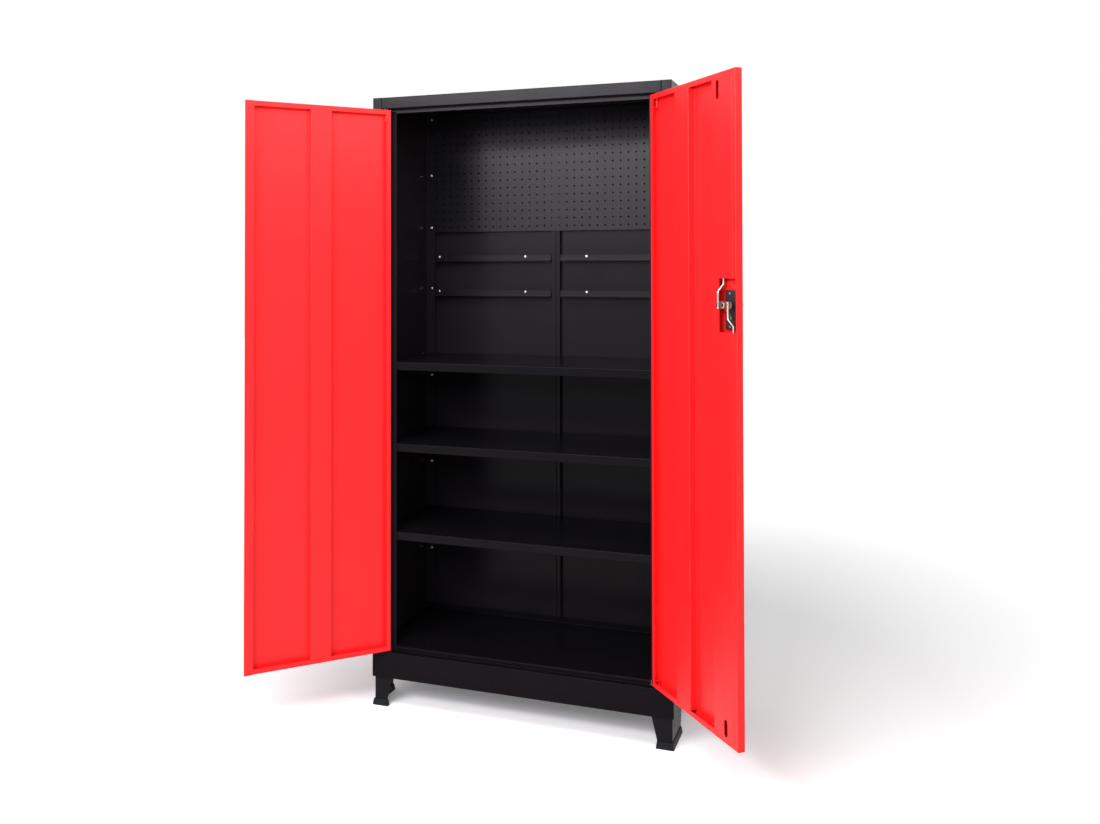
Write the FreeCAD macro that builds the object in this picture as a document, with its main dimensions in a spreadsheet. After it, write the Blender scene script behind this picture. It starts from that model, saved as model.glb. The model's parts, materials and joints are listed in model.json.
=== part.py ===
"""Steel tool cabinet: two hinged doors, three shelves, a perforated tool panel and rails.

Millimetres, X to the right, Y to the back and Z up. The origin is on the floor under the
middle of the closed cabinet. Doors are drawn closed, then turned open about their pins.
"""
import FreeCAD
import Part
import math
import os
import Sketcher
from FreeCAD import Vector

SIZES = {
    # cabinet
    "cabinet_width": 900,
    "cabinet_depth": 400,
    "cabinet_height": 1800,
    "sheet_gauge": 0.8,
    "base_underside": 84,
    "ledge_height": 160,
    "floor_rise": 13,
    "floor_upstand": 17,
    "apron_depth": 72,
    "cap_face_height": 34,
    "cap_lip_drop": 12,
    "cap_apron_depth": 28,
    "apron_front_setback": 30,
    "apron_rear_setback": 20,
    "ledge_depth": 21.3,
    "post_width": 28,
    "post_depth": 24.5,
    "stop_flange_width": 38,
    "rear_flange_width": 30,
    "back_pan_depth": 16,
    "mullion_lip": 13,
    "back_end_lip": 20,
    "panel_joint": 0.15,
    "sheet_clearance": 0.3,
    # doors
    "door_depth": 20,
    "right_door_relief": 0.5,
    "door_end_gap": 4,
    "door_side_gap": 1.5,
    "door_meeting_gap": 3,
    "door_lip": 14,
    "left_door_angle": 133,
    "right_door_angle": 130.5,
    "pivot_inset": 11,
    "pivot_depth": 5,
    "hinge_pin_radius": 3,
    "running_clearance": 0.05,
    "bush_wall": 1,
    "bush_flange": 0.9,
    "pin_reach": 9,
    "top_bracket_drop": 10,
    "top_bracket_height": 27,
    "bottom_bracket_height": 18.2,
    "bracket_gauge": 1.6,
    "bracket_width": 15.2,
    "stiffener_foot": 9,
    "left_stiffener_start": 181,
    "left_stiffener_width": 62,
    "right_stiffener_start": 132,
    "right_stiffener_width": 70,
    "strip_overlap": 12,
    "strip_width": 24,
    # shelves
    "lower_shelf_top": 509,
    "middle_shelf_top": 771,
    "upper_shelf_top": 1013,
    "shelf_drop": 25,
    "shelf_hem": 12,
    "shelf_side_gap": 1.5,
    "clip_gauge": 1.2,
    "clip_width": 24,
    "clip_reach": 18,
    "clip_inset": 50,
    # tool panel and rails
    "peg_pitch": 25,
    "peg_columns": 34,
    "peg_rows": 15,
    "peg_hole": 5,
    "peg_top_drop": 23,
    "peg_margin": 16,
    "panel_side_gap": 10,
    "rail_inner_end": 16,
    "rail_side_gap": 34,
    "rail_face": 19,
    "rail_ledge": 10,
    "rail_gauge": 1.2,
    "rail_drop": 77,
    "rail_pitch": 113,
    "rail_screw_inset": 13.5,
    "rail_screw_far_inset": 86,
    "rail_screw_drop": 5,
    "spacer_radius": 4.5,
    "screw_radius": 2,
    "screw_head_radius": 4,
    "screw_head_height": 2.2,
    "hole_clearance": 0.2,
    "back_screw_inset": 19,
    "back_screw_drop_1": 15,
    "back_screw_drop_2": 202,
    "back_screw_drop_3": 374,
    "back_screw_drop_4": 574,
    "back_screw_rise_1": 940,
    "back_screw_rise_2": 655,
    "back_screw_rise_3": 370,
    # legs and feet
    "leg_inset": 5,
    "leg_gauge": 2,
    "leg_top": 150,
    "leg_front_top": 57,
    "leg_front_foot": 41,
    "leg_side_top": 130,
    "leg_side_foot": 118,
    "leg_bolt_radius": 3,
    "leg_bolt_head": 5,
    "leg_bolt_head_height": 3.5,
    "leg_bolt_height": 130,
    "leg_bolt_first": 35,
    "leg_bolt_pitch": 60,
    "foot_height": 18,
    "foot_sole": 4,
    "foot_front": 50,
    "foot_side": 125,
    "foot_bar": 14,
    "foot_draft": 3,
    # lock
    "channel_reach": 105,
    "channel_joint": 0.3,
    "window_reach": 73.5,
    "window_below": 65,
    "window_above": 64,
    "slot_width": 14,
    "upper_slot_length": 47,
    "lower_slot_length": 40,
    "upper_slot_drop": 40.5,
    "lower_slot_rise": 36,
    "upper_slot_inset": 78.5,
    "lower_slot_inset": 52.5,
    "spindle_inset": 47,
    "spindle_height": 1202,
    "rod_offset": 21.5,
    "rod_radius": 3,
    "rod_bend_radius": 9,
    "rod_deep": 10,
    "rod_jog_start": 32,
    "rod_jog_rise": 17,
    "rod_end_gap": 1.5,
    "guide_half_width": 9,
    "cam_gauge": 2.5,
    "cam_end_radius": 9,
    "cam_rod_gap": 0.3,
    "housing_width": 52,
    "housing_below": 59,
    "housing_above": 36,
    "housing_depth": 6.5,
    "escutcheon_margin": 4,
    "escutcheon_thickness": 3,
    "escutcheon_radius": 10,
    "lever_across": 46,
    "lever_drop": 80,
    "lever_width": 16,
    "lever_thickness": 8,
    "lever_height": 22,
    "hub_radius": 13,
    "spindle_radius": 5,
    "neck_radius": 4,
    "plug_radius": 6,
    "plug_depth": 14,
    "keyway_width": 1.6,
    "keyway_length": 7,
    "keyway_depth": 6,
    "nut_width": 13,
    "nut_height": 5,
}

BACK_SCREW_DROPS = [f"back_screw_drop_{number}" for number in range(1, 5)]
BACK_SCREW_RISES = [f"back_screw_rise_{number}" for number in range(1, 4)]

document = FreeCAD.newDocument("tool_cabinet")
sheet = document.addObject("Spreadsheet::Sheet", "Sizes")
for row, (alias, number) in enumerate(SIZES.items(), 1):
    sheet.set(f"A{row}", str(number))
    sheet.setAlias(f"A{row}", alias)
document.recompute()


class Size:
    """A length with the sheet formula that gives it."""

    def __init__(self, value, text=None):
        self.value = float(value)
        self.text = text or repr(self.value)

    def joined(self, sign, other, value):
        """Make the size that an operation with another size gives."""
        return Size(value, f"({self.text} {sign} {other.text})")

    def __add__(self, other):
        other = as_size(other)
        return self.joined("+", other, self.value + other.value)

    def __sub__(self, other):
        other = as_size(other)
        return self.joined("-", other, self.value - other.value)

    def __mul__(self, other):
        other = as_size(other)
        return self.joined("*", other, self.value * other.value)

    def __truediv__(self, other):
        other = as_size(other)
        return self.joined("/", other, self.value / other.value)

    def __radd__(self, other):
        return as_size(other) + self

    def __rsub__(self, other):
        return as_size(other) - self

    def __rmul__(self, other):
        return as_size(other) * self

    def __neg__(self):
        return Size(-self.value, f"(-{self.text})")


def as_size(number):
    """Give a size for a size or a plain number."""
    return number if isinstance(number, Size) else Size(number)


class SheetSizes:
    """Reads the sheet's cells by their aliases."""

    def __getattr__(self, alias):
        return Size(getattr(sheet, alias), f"Sizes.{alias}")


s = SheetSizes()


# Places that several pieces share
front = -(s.cabinet_depth / 2)
rear = s.cabinet_depth / 2
half_width = s.cabinet_width / 2
wall_inside = half_width - s.sheet_gauge
top_underside = s.cabinet_height - s.sheet_gauge
frame_back = rear - s.back_pan_depth
frame_front = frame_back - s.sheet_gauge
floor_height = s.ledge_height + s.floor_rise
cap_ledge = s.cabinet_height - s.cap_face_height
stop_face = front + s.ledge_depth
post_inner = half_width - s.post_width
post_opening = post_inner - s.sheet_clearance
flange_front = front + s.post_depth
flange_back = flange_front + s.sheet_gauge
flange_edge = post_inner - s.stop_flange_width
apron_front = front + s.apron_front_setback
apron_rear = rear - s.apron_rear_setback

hinge_edge = post_inner - s.door_side_gap
free_edge = s.door_meeting_gap / 2
door_bottom = s.ledge_height + s.door_end_gap
door_top = cap_ledge - s.door_end_gap
skin_inside = front + s.sheet_gauge
left_mouth = front + s.door_depth
right_mouth = left_mouth - s.right_door_relief
pivot_x = hinge_edge - s.pivot_inset
pivot_y = front + s.pivot_depth
bush_radius = s.hinge_pin_radius + s.running_clearance + s.bush_wall
bush_bore = s.hinge_pin_radius + s.running_clearance
frame_low = door_bottom + s.door_lip + s.sheet_clearance
frame_high = door_top - s.door_lip - s.sheet_clearance

spindle_x = free_edge + s.spindle_inset
upper_rod_x = spindle_x + s.rod_offset
lower_rod_x = spindle_x - s.rod_offset
cam_front = right_mouth + s.sheet_clearance
cam_back = cam_front + s.cam_gauge
rod_front_y = cam_back + s.cam_rod_gap + s.rod_radius
rod_deep_y = front + s.rod_deep
rod_hole_radius = s.rod_radius + s.sheet_clearance
upper_slot_height = door_top - s.upper_slot_drop
lower_slot_height = door_bottom + s.lower_slot_rise
window_low = s.spindle_height - s.window_below
window_high = s.spindle_height + s.window_above
housing_left = free_edge + s.door_lip + s.sheet_gauge * 2
housing_right = housing_left + s.housing_width
housing_low = s.spindle_height - s.housing_below
housing_high = s.spindle_height + s.housing_above
handle_seat = front - s.escutcheon_thickness

back_screw_x = half_width - s.back_screw_inset
screw_hole = s.screw_radius + s.hole_clearance
lip_end = pivot_x - s.pivot_inset - s.sheet_clearance
peg_high_row = s.cabinet_height - s.peg_top_drop
peg_low_row = peg_high_row - s.peg_pitch * (s.peg_rows - 1)
peg_side_column = s.peg_pitch * (s.peg_columns - 1) / 2
peg_low = peg_low_row - s.peg_margin
peg_high = peg_high_row + s.peg_margin
panel_half_width = half_width - s.panel_side_gap
rail_back = frame_front
rail_outer_end = half_width - s.rail_side_gap
upper_rail_top = peg_low - s.rail_drop
lower_rail_top = upper_rail_top - s.rail_pitch
leg_outer = half_width - s.leg_inset
packer_thickness = s.leg_inset - s.sheet_gauge * 2


def point(across, up):
    """Vector of a place in a sketch."""
    return Vector(across.value, up.value, 0)


def hold(sketch, kind, item, end, size):
    """Hold one coordinate of an item's point at a size from the sheet."""
    index = sketch.addConstraint(Sketcher.Constraint(kind, -1, 1, item, end, size.value))
    sketch.setExpression(f"Constraints[{index}]", size.text)


def hold_point(sketch, item, end, place):
    """Hold both coordinates of an item's point."""
    hold(sketch, "DistanceX", item, end, place[0])
    hold(sketch, "DistanceY", item, end, place[1])


def hold_radius(sketch, item, size):
    """Hold the radius of a circle or an arc."""
    index = sketch.addConstraint(Sketcher.Constraint("Radius", item, size.value))
    sketch.setExpression(f"Constraints[{index}]", size.text)


class Polygon:
    """A closed outline of straight edges."""

    def __init__(self, points):
        self.points = [(as_size(across), as_size(up)) for across, up in points]

    def draw(self, sketch):
        """Draw the outline in a sketch."""
        count = len(self.points)
        first = sketch.GeometryCount
        for place, following in zip(self.points, self.points[1:] + self.points[:1]):
            sketch.addGeometry(Part.LineSegment(point(*place), point(*following)), False)
        for turn in range(count):
            following = first + (turn + 1) % count
            sketch.addConstraint(Sketcher.Constraint("Coincident", first + turn, 2, following, 1))
        for turn, place in enumerate(self.points):
            hold_point(sketch, first + turn, 1, place)


class Circle:
    """A round outline."""

    def __init__(self, centre, radius):
        self.centre = (as_size(centre[0]), as_size(centre[1]))
        self.radius = as_size(radius)

    def draw(self, sketch):
        """Draw the circle in a sketch."""
        circle = Part.Circle(point(*self.centre), Vector(0, 0, 1), self.radius.value)
        index = sketch.addGeometry(circle, False)
        hold_point(sketch, index, 3, self.centre)
        hold_radius(sketch, index, self.radius)


class Slot:
    """An outline with two round ends, from one end's centre to the other's."""

    def __init__(self, start, end, radius):
        self.start = (as_size(start[0]), as_size(start[1]))
        self.end = (as_size(end[0]), as_size(end[1]))
        self.radius = as_size(radius)

    def draw(self, sketch):
        """Draw the slot in a sketch."""
        start = point(*self.start)
        end = point(*self.end)
        radius = self.radius.value
        along = (end - start).normalize()
        left = Vector(-along.y, along.x, 0) * radius
        first = sketch.GeometryCount
        sketch.addGeometry(Part.Arc(start + left, start - along * radius, start - left), False)
        sketch.addGeometry(Part.LineSegment(start - left, end - left), False)
        sketch.addGeometry(Part.Arc(end - left, end + along * radius, end + left), False)
        sketch.addGeometry(Part.LineSegment(end + left, start + left), False)
        for turn in range(4):
            item = first + turn
            following = first + (turn + 1) % 4
            joint = Sketcher.Constraint("Tangent", item, 2, following, 1)
            sketch.addConstraint(joint)
        hold_point(sketch, first, 3, self.start)
        hold_point(sketch, first + 2, 3, self.end)
        hold_radius(sketch, first, self.radius)
        sketch.addConstraint(Sketcher.Constraint("Equal", first, first + 2))


def rectangle(left, bottom, right, top):
    """Outline of a rectangle."""
    return Polygon([(left, bottom), (right, bottom), (right, top), (left, top)])


def shifted(place, gauge, step):
    """Move a place by whole gauges across and up."""
    moved = []
    for coordinate, way in zip(place, step):
        if way:
            coordinate = coordinate + gauge if way > 0 else coordinate - gauge
        moved.append(coordinate)
    return tuple(moved)


def folded(path, gauge, metal="left"):
    """Outline of a sheet folded square along a path, with its metal on one side of it."""
    path = [(as_size(across), as_size(up)) for across, up in path]
    hand = 1 if metal == "left" else -1
    normals = []
    for (across, up), (next_across, next_up) in zip(path, path[1:]):
        run = (next_across.value - across.value, next_up.value - up.value)
        length = max(abs(run[0]), abs(run[1]))
        normals.append((round(-run[1] / length) * hand, round(run[0] / length) * hand))
    far_side = []
    for turn, place in enumerate(path):
        before = normals[max(turn - 1, 0)]
        after = normals[min(turn, len(normals) - 1)]
        step = before if before == after else (before[0] + after[0], before[1] + after[1])
        far_side.append(shifted(place, gauge, step))
    return Polygon(path + far_side[::-1])


def mirrored(outline, side):
    """The outline, or with side -1 its mirror image across the sketch's upright axis."""
    if side > 0:
        return outline
    return Polygon([(-across, up) for across, up in outline.points])


def origin_feature(body, role):
    """One of the body's own origin planes or axes."""
    return next(item for item in body.Origin.OriginFeatures if item.Role == role)


def new_body(label):
    """Add a body with its label."""
    body = document.addObject("PartDesign::Body", label)
    body.Label = label
    return body


def new_sketch(body, name, plane, level, outlines):
    """Draw outlines on an origin plane, moved to a level along the world axis."""
    sketch = body.newObject("Sketcher::SketchObject", f"{body.Label}_{name}_outline")
    sketch.AttachmentSupport = [(origin_feature(body, plane), "")]
    sketch.MapMode = "FlatFace"
    offset = -level if plane == "XZ_Plane" else level
    sketch.setExpression("AttachmentOffset.Base.z", offset.text)
    for outline in outlines:
        outline.draw(sketch)
    return sketch


def pad(body, name, plane, outlines, low, high):
    """Fill outlines with metal between two levels along the plane's world axis."""
    low = as_size(low)
    high = as_size(high)
    level = high if plane == "XZ_Plane" else low
    feature = body.newObject("PartDesign::Pad", f"{body.Label}_{name}")
    feature.Profile = new_sketch(body, name, plane, level, outlines)
    feature.setExpression("Length", (high - low).text)
    return feature


def pocket(body, name, plane, outlines, low, high):
    """Cut outlines away between two levels along the plane's world axis."""
    low = as_size(low)
    high = as_size(high)
    level = low if plane == "XZ_Plane" else high
    feature = body.newObject("PartDesign::Pocket", f"{body.Label}_{name}")
    feature.Profile = new_sketch(body, name, plane, level, outlines)
    feature.setExpression("Length", (high - low).text)
    return feature


def cut_pan(body, plane, skin, mouth, edges, lips):
    """Hollow a block into a folded pan with walls and with lips round its mouth."""
    gauge = s.sheet_gauge
    inward = 1 if mouth.value > skin.value else -1
    skin_face = skin + gauge * inward
    lip_face = mouth - gauge * inward
    left, bottom, right, top = edges
    opening = rectangle(left + lips[0], bottom + lips[1], right - lips[2], top - lips[3])
    hollow = rectangle(left + gauge, bottom + gauge, right - gauge, top - gauge)
    levels = (skin_face, mouth) if inward > 0 else (mouth, skin_face)
    pocket(body, "mouth", plane, [opening], *levels)
    levels = (skin_face, lip_face) if inward > 0 else (lip_face, skin_face)
    pocket(body, "hollow", plane, [hollow], *levels)


def spread(side, inner, outer):
    """Left and right edges of a stretch on one side of the middle plane."""
    return (inner, outer) if side > 0 else (-outer, -inner)


def gathered(label, solids):
    """One node from several separate bodies' shapes."""
    group = document.addObject("Part::Compound", label)
    group.Label = label
    group.Links = solids
    return group


def hang_on_door(item, side):
    """Turn a piece of a door from its closed place to its open one."""
    angle = "Sizes.right_door_angle" if side > 0 else "-Sizes.left_door_angle"
    pivot = f"vector({(pivot_x * side).text}; {pivot_y.text}; 0)"
    turn = f"rotation(vector(0; 0; 1); {angle})"
    item.setExpression("Placement", f"placement(vector(0; 0; 0); {turn}; {pivot})")


SIDES = ((-1, "left"), (1, "right"))
nodes = []


def keep(item, side=None):
    """Note a finished node, hung on a door if it belongs to one."""
    if side is not None:
        hang_on_door(item, side)
    nodes.append(item)


def make_side_panel(side, word):
    """Side wall folded into the front post, its stop flange and the rear flange."""
    body = new_body(f"side_panel_{word}")
    path = [
        (flange_edge, flange_front),
        (post_inner, flange_front),
        (post_inner, front),
        (half_width, front),
        (half_width, frame_back),
        (half_width - s.rear_flange_width, frame_back),
    ]
    section = mirrored(folded(path, s.sheet_gauge), side)
    pad(body, "sheet", "XY_Plane", [section], s.base_underside, top_underside)
    margin = s.sheet_gauge
    notch = Polygon([
        (flange_edge - margin, front - margin),
        (half_width + margin, front - margin),
        (half_width + margin, front + s.sheet_gauge),
        (wall_inside, front + s.sheet_gauge),
        (wall_inside, flange_back),
        (flange_edge - margin, flange_back),
    ])
    pocket(body, "skirt_notch", "XY_Plane", [mirrored(notch, side)],
           s.base_underside, s.ledge_height)
    holes = [Circle((side * back_screw_x, height), screw_hole) for height in back_screw_heights()]
    pocket(body, "screw_holes", "XZ_Plane", holes, frame_front, frame_back)
    keep(body)


def back_screw_heights():
    """Heights of the screws in the rear flanges."""
    under_top = [s.cabinet_height - getattr(s, alias) for alias in BACK_SCREW_DROPS]
    return under_top + [getattr(s, alias) for alias in BACK_SCREW_RISES]


def make_back_panel(side, word):
    """Half of the back, a shallow pan whose lips meet the flanges and the other half."""
    body = new_body(f"back_panel_{word}")
    inner_lip = s.mullion_lip
    outer_lip = s.rear_flange_width
    left, right = spread(side, s.panel_joint, half_width)
    edges = (left, s.base_underside, right, top_underside)
    pad(body, "block", "XZ_Plane", [rectangle(*edges)], frame_back, rear)
    lips = (inner_lip, s.back_end_lip, outer_lip, s.back_end_lip)
    if side < 0:
        lips = (outer_lip, s.back_end_lip, inner_lip, s.back_end_lip)
    cut_pan(body, "XZ_Plane", rear, frame_back, edges, lips)
    holes = [Circle((side * back_screw_x, height), screw_hole) for height in back_screw_heights()]
    pocket(body, "screw_holes", "XZ_Plane", holes, frame_back, frame_back + s.sheet_gauge)
    keep(body)


def make_top_cap():
    """Top plate with its front band, the ledge over the doors and their stop lip."""
    body = new_body("top_cap")
    plate = rectangle(-half_width, front, half_width, rear)
    pad(body, "plate", "XY_Plane", [plate], top_underside, s.cabinet_height)
    path = [
        (front, s.cabinet_height),
        (front, cap_ledge),
        (stop_face, cap_ledge),
        (stop_face, cap_ledge - s.cap_lip_drop),
    ]
    pad(body, "band", "YZ_Plane", [folded(path, s.sheet_gauge)], -post_opening, post_opening)
    aprons = [rectangle(*apron_edges(side)) for side, word in SIDES]
    pad(body, "aprons", "XY_Plane", aprons, s.cabinet_height - s.cap_apron_depth, top_underside)
    corners = [rectangle(*corner_edges(side, cap_ledge - s.cap_lip_drop, cap_ledge))
               for side, word in SIDES]
    pocket(body, "lip_ends", "XZ_Plane", corners, stop_face, stop_face + s.sheet_gauge)
    holes = ledge_holes(upper_rod_x)
    pocket(body, "pin_holes", "XY_Plane", holes, cap_ledge, cap_ledge + s.sheet_gauge)
    keep(body)


def apron_edges(side):
    """Edges of a flange that hangs inside a side wall."""
    left, right = spread(side, wall_inside - s.sheet_gauge, wall_inside)
    return left, apron_front, right, apron_rear


def corner_edges(side, bottom, top):
    """Edges of the corner that the door's hinge edge swings through."""
    left, right = spread(side, lip_end, post_opening)
    return left, bottom, right, top


def ledge_holes(rod_x):
    """Holes in a ledge for the hinge bushes and a lock rod."""
    holes = [Circle((side * pivot_x, pivot_y), bush_radius) for side, word in SIDES]
    holes.append(Circle((rod_x, rod_deep_y), rod_hole_radius))
    return holes


def make_base_tray():
    """Cabinet floor folded down into the riser, the ledge under the doors and the skirt."""
    body = new_body("base_tray")
    upstand_back = frame_front
    path = [
        (front, s.base_underside),
        (front, s.ledge_height),
        (stop_face, s.ledge_height),
        (stop_face, floor_height),
        (upstand_back - s.sheet_gauge, floor_height),
        (upstand_back - s.sheet_gauge, floor_height + s.floor_upstand),
    ]
    section = folded(path, s.sheet_gauge, metal="right")
    pad(body, "sheet", "YZ_Plane", [section], -wall_inside, wall_inside)
    skirt = rectangle(-half_width, s.base_underside, half_width, s.ledge_height)
    pad(body, "skirt", "XZ_Plane", [skirt], front, front + s.sheet_gauge)
    aprons = [rectangle(*apron_edges(side)) for side, word in SIDES]
    floor_underside = floor_height - s.sheet_gauge
    pad(body, "aprons", "XY_Plane", aprons, floor_height - s.apron_depth, floor_underside)
    notches = []
    for side, word in SIDES:
        left, right = spread(side, flange_edge - s.sheet_clearance, wall_inside)
        notches.append(rectangle(left, stop_face, right, flange_back + s.sheet_clearance))
    pocket(body, "post_notches", "XY_Plane", notches, s.ledge_height, floor_height)
    holes = ledge_holes(lower_rod_x)
    pocket(body, "pin_holes", "XY_Plane", holes, s.ledge_height - s.sheet_gauge, s.ledge_height)
    bolt_holes = [Circle(place, s.leg_bolt_radius + s.hole_clearance)
                  for place in leg_bolt_places()]
    for side, word in SIDES:
        left, right = spread(side, wall_inside - s.sheet_gauge, wall_inside)
        pocket(body, f"bolt_holes_{word}", "YZ_Plane", bolt_holes, left, right)
    keep(body)


def leg_bolt_places():
    """Places of the leg bolts in a side apron, along and up."""
    places = []
    for end in (-1, 1):
        for turn in range(2):
            along = (leg_face(end) - s.leg_bolt_first - s.leg_bolt_pitch * turn) * end
            places.append((along, s.leg_bolt_height))
    return places


def make_shelf(word, top):
    """Shelf with its edges folded down and a hem along the bottom of each edge."""
    body = new_body(f"shelf_{word}")
    half = wall_inside - s.shelf_side_gap
    edges = (-half, flange_back + s.sheet_clearance, half, frame_front - s.shelf_side_gap)
    bottom = top - s.shelf_drop
    pad(body, "block", "XY_Plane", [rectangle(*edges)], bottom, top)
    cut_pan(body, "XY_Plane", top, bottom, edges, (s.shelf_hem,) * 4)
    keep(body)


def shelf_tops():
    """Heights of the shelves' upper faces."""
    return [s.lower_shelf_top, s.middle_shelf_top, s.upper_shelf_top]


def make_shelf_clips():
    """Twelve angle clips that carry the shelves' corners."""
    clips = []
    for level, top in enumerate(shelf_tops()):
        seat = top - s.shelf_drop
        for side, word in SIDES:
            path = [
                (wall_inside - s.clip_reach, seat),
                (wall_inside - s.clip_gauge, seat),
                (wall_inside - s.clip_gauge, top),
            ]
            section = mirrored(folded(path, s.clip_gauge, metal="right"), side)
            for end, name in ((-1, "front"), (1, "rear")):
                body = new_body(f"clip_{level}_{word}_{name}")
                middle = (rear - s.clip_inset) * end
                pad(body, "angle", "XZ_Plane", [section],
                    middle - s.clip_width / 2, middle + s.clip_width / 2)
                clips.append(body)
    keep(gathered("shelf_clips", clips))


def make_pegboard():
    """Tool panel punched with square holes on a grid."""
    low = peg_low.value
    high = peg_high.value
    half = panel_half_width.value
    back = frame_front.value
    hole = s.peg_hole.value / 2

    def loop(left, bottom, right, top):
        corners = [Vector(left, back, bottom), Vector(right, back, bottom),
                   Vector(right, back, top), Vector(left, back, top), Vector(left, back, bottom)]
        return Part.makePolygon(corners)

    holes = []
    for column in range(round(s.peg_columns.value)):
        across = column * s.peg_pitch.value - peg_side_column.value
        for row_number in range(round(s.peg_rows.value)):
            up = peg_low_row.value + row_number * s.peg_pitch.value
            holes.append(loop(across - hole, up - hole, across + hole, up + hole))
    for up in (size.value for size in back_screw_heights()):
        if low < up < high:
            for side, word in SIDES:
                centre = Vector(side * back_screw_x.value, back, up)
                ring = Part.makeCircle(screw_hole.value, centre, Vector(0, -1, 0))
                holes.append(Part.Wire([ring]))
    outline = loop(-half, low, half, high)
    punched = Part.makeFace(Part.makeCompound([outline] + holes), "Part::FaceMakerBullseye")
    panel = document.addObject("Part::Feature", "pegboard")
    panel.Label = "pegboard"
    panel.Shape = punched.extrude(Vector(0, -s.sheet_gauge.value, 0))
    keep(panel)


def rail_screw_places():
    """Distances from the middle to a rail's two screws."""
    return [s.rail_inner_end + s.rail_screw_far_inset, rail_outer_end - s.rail_screw_inset]


def make_rail(label, side, top):
    """Tool rail: a face strip with a narrow ledge at its foot."""
    body = new_body(label)
    face = rail_back - s.rail_gauge
    path = [
        (face, top),
        (face, top - s.rail_face),
        (face - s.rail_ledge, top - s.rail_face),
    ]
    left, right = spread(side, s.rail_inner_end, rail_outer_end)
    pad(body, "sheet", "YZ_Plane", [folded(path, s.rail_gauge)], left, right)
    holes = [Circle((side * across, top - s.rail_screw_drop), screw_hole)
             for across in rail_screw_places()]
    pocket(body, "screw_holes", "XZ_Plane", holes, face, rail_back)
    keep(body)


def make_screw(label, across, up, head_face, shank_end):
    """Pan head screw that points to the back."""
    body = new_body(label)
    place = (across, up)
    pad(body, "shank", "XZ_Plane", [Circle(place, s.screw_radius)], head_face, shank_end)
    pad(body, "head", "XZ_Plane", [Circle(place, s.screw_head_radius)],
        head_face - s.screw_head_height, head_face)
    return body


def make_spacer(label, across, up):
    """Tube between a rail and the back panel's field."""
    body = new_body(label)
    place = (across, up)
    rings = [Circle(place, s.spacer_radius), Circle(place, screw_hole)]
    pad(body, "tube", "XZ_Plane", rings, rail_back, rear - s.sheet_gauge)
    return body


def make_rails_and_screws():
    """Four rails with their screws and spacers, and the screws of the rear flanges."""
    screws = []
    spacers = []
    for level, top in (("upper", upper_rail_top), ("lower", lower_rail_top)):
        up = top - s.rail_screw_drop
        for side, word in SIDES:
            make_rail(f"tool_rail_{level}_{word}", side, top)
            for turn, across in enumerate(rail_screw_places()):
                name = f"{level}_{word}_{turn}"
                across = across * side
                face = rail_back - s.rail_gauge
                screws.append(make_screw(f"rail_screw_{name}", across, up, face,
                                         rear - s.sheet_gauge))
                spacers.append(make_spacer(f"rail_spacer_{name}", across, up))
    keep(gathered("rail_screws", screws))
    keep(gathered("rail_spacers", spacers))
    back_screws = []
    for turn, up in enumerate(back_screw_heights()):
        seat = frame_front - s.sheet_gauge if up.value > peg_low.value else frame_front
        for side, word in SIDES:
            back_screws.append(make_screw(f"back_screw_{word}_{turn}", side * back_screw_x, up,
                                          seat, frame_back + s.sheet_gauge * 2))
    keep(gathered("back_screws", back_screws))


def leg_face(end):
    """Distance from the middle to the outer face of the legs at the front or the rear."""
    return rear - s.leg_inset if end < 0 else frame_front - s.sheet_clearance


def make_leg(side, word, end, name):
    """Tapered angle leg, bolted inside the base."""
    body = new_body(f"leg_{name}_{word}")
    face = Polygon([
        (leg_outer, s.leg_top),
        (leg_outer - s.leg_front_top, s.leg_top),
        (leg_outer - s.leg_front_top, s.base_underside),
        (leg_outer - s.leg_front_foot, s.foot_height),
        (leg_outer - s.leg_front_foot, s.foot_sole),
        (leg_outer, s.foot_sole),
    ])
    outside = leg_face(end)
    low, high = spread(end, outside - s.leg_gauge, outside)
    pad(body, "face", "XZ_Plane", [mirrored(face, side)], low, high)
    flank = Polygon([
        (outside, s.leg_top),
        (outside - s.leg_side_top, s.leg_top),
        (outside - s.leg_side_top, s.base_underside),
        (outside - s.leg_side_foot, s.foot_height),
        (outside - s.leg_side_foot, s.foot_sole),
        (outside, s.foot_sole),
    ])
    low, high = spread(side, leg_outer - s.leg_gauge, leg_outer)
    pad(body, "flank", "YZ_Plane", [mirrored(flank, end)], low, high)
    holes = [Circle(place, s.leg_bolt_radius + s.hole_clearance) for place in leg_bolt_places()
             if place[0].value * end > 0]
    pocket(body, "bolt_holes", "YZ_Plane", holes, low, high)
    keep(body)


def foot_plan(end, inset, bar):
    """Angle-shaped outline of a foot, drawn for the right rear corner."""
    edge = leg_face(end) + s.leg_inset
    outer_x = half_width - inset
    outer_y = edge - inset
    inner_x = half_width - s.foot_front + inset
    inner_y = edge - s.foot_side + inset
    return [
        (outer_x, outer_y),
        (inner_x, outer_y),
        (inner_x, outer_y - bar),
        (outer_x - bar, outer_y - bar),
        (outer_x - bar, inner_y),
        (outer_x, inner_y),
    ]


def placed(points, side, end):
    """Outline drawn for the right rear corner, moved to another corner."""
    return Polygon([(across * side, along * end) for across, along in points])


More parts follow.
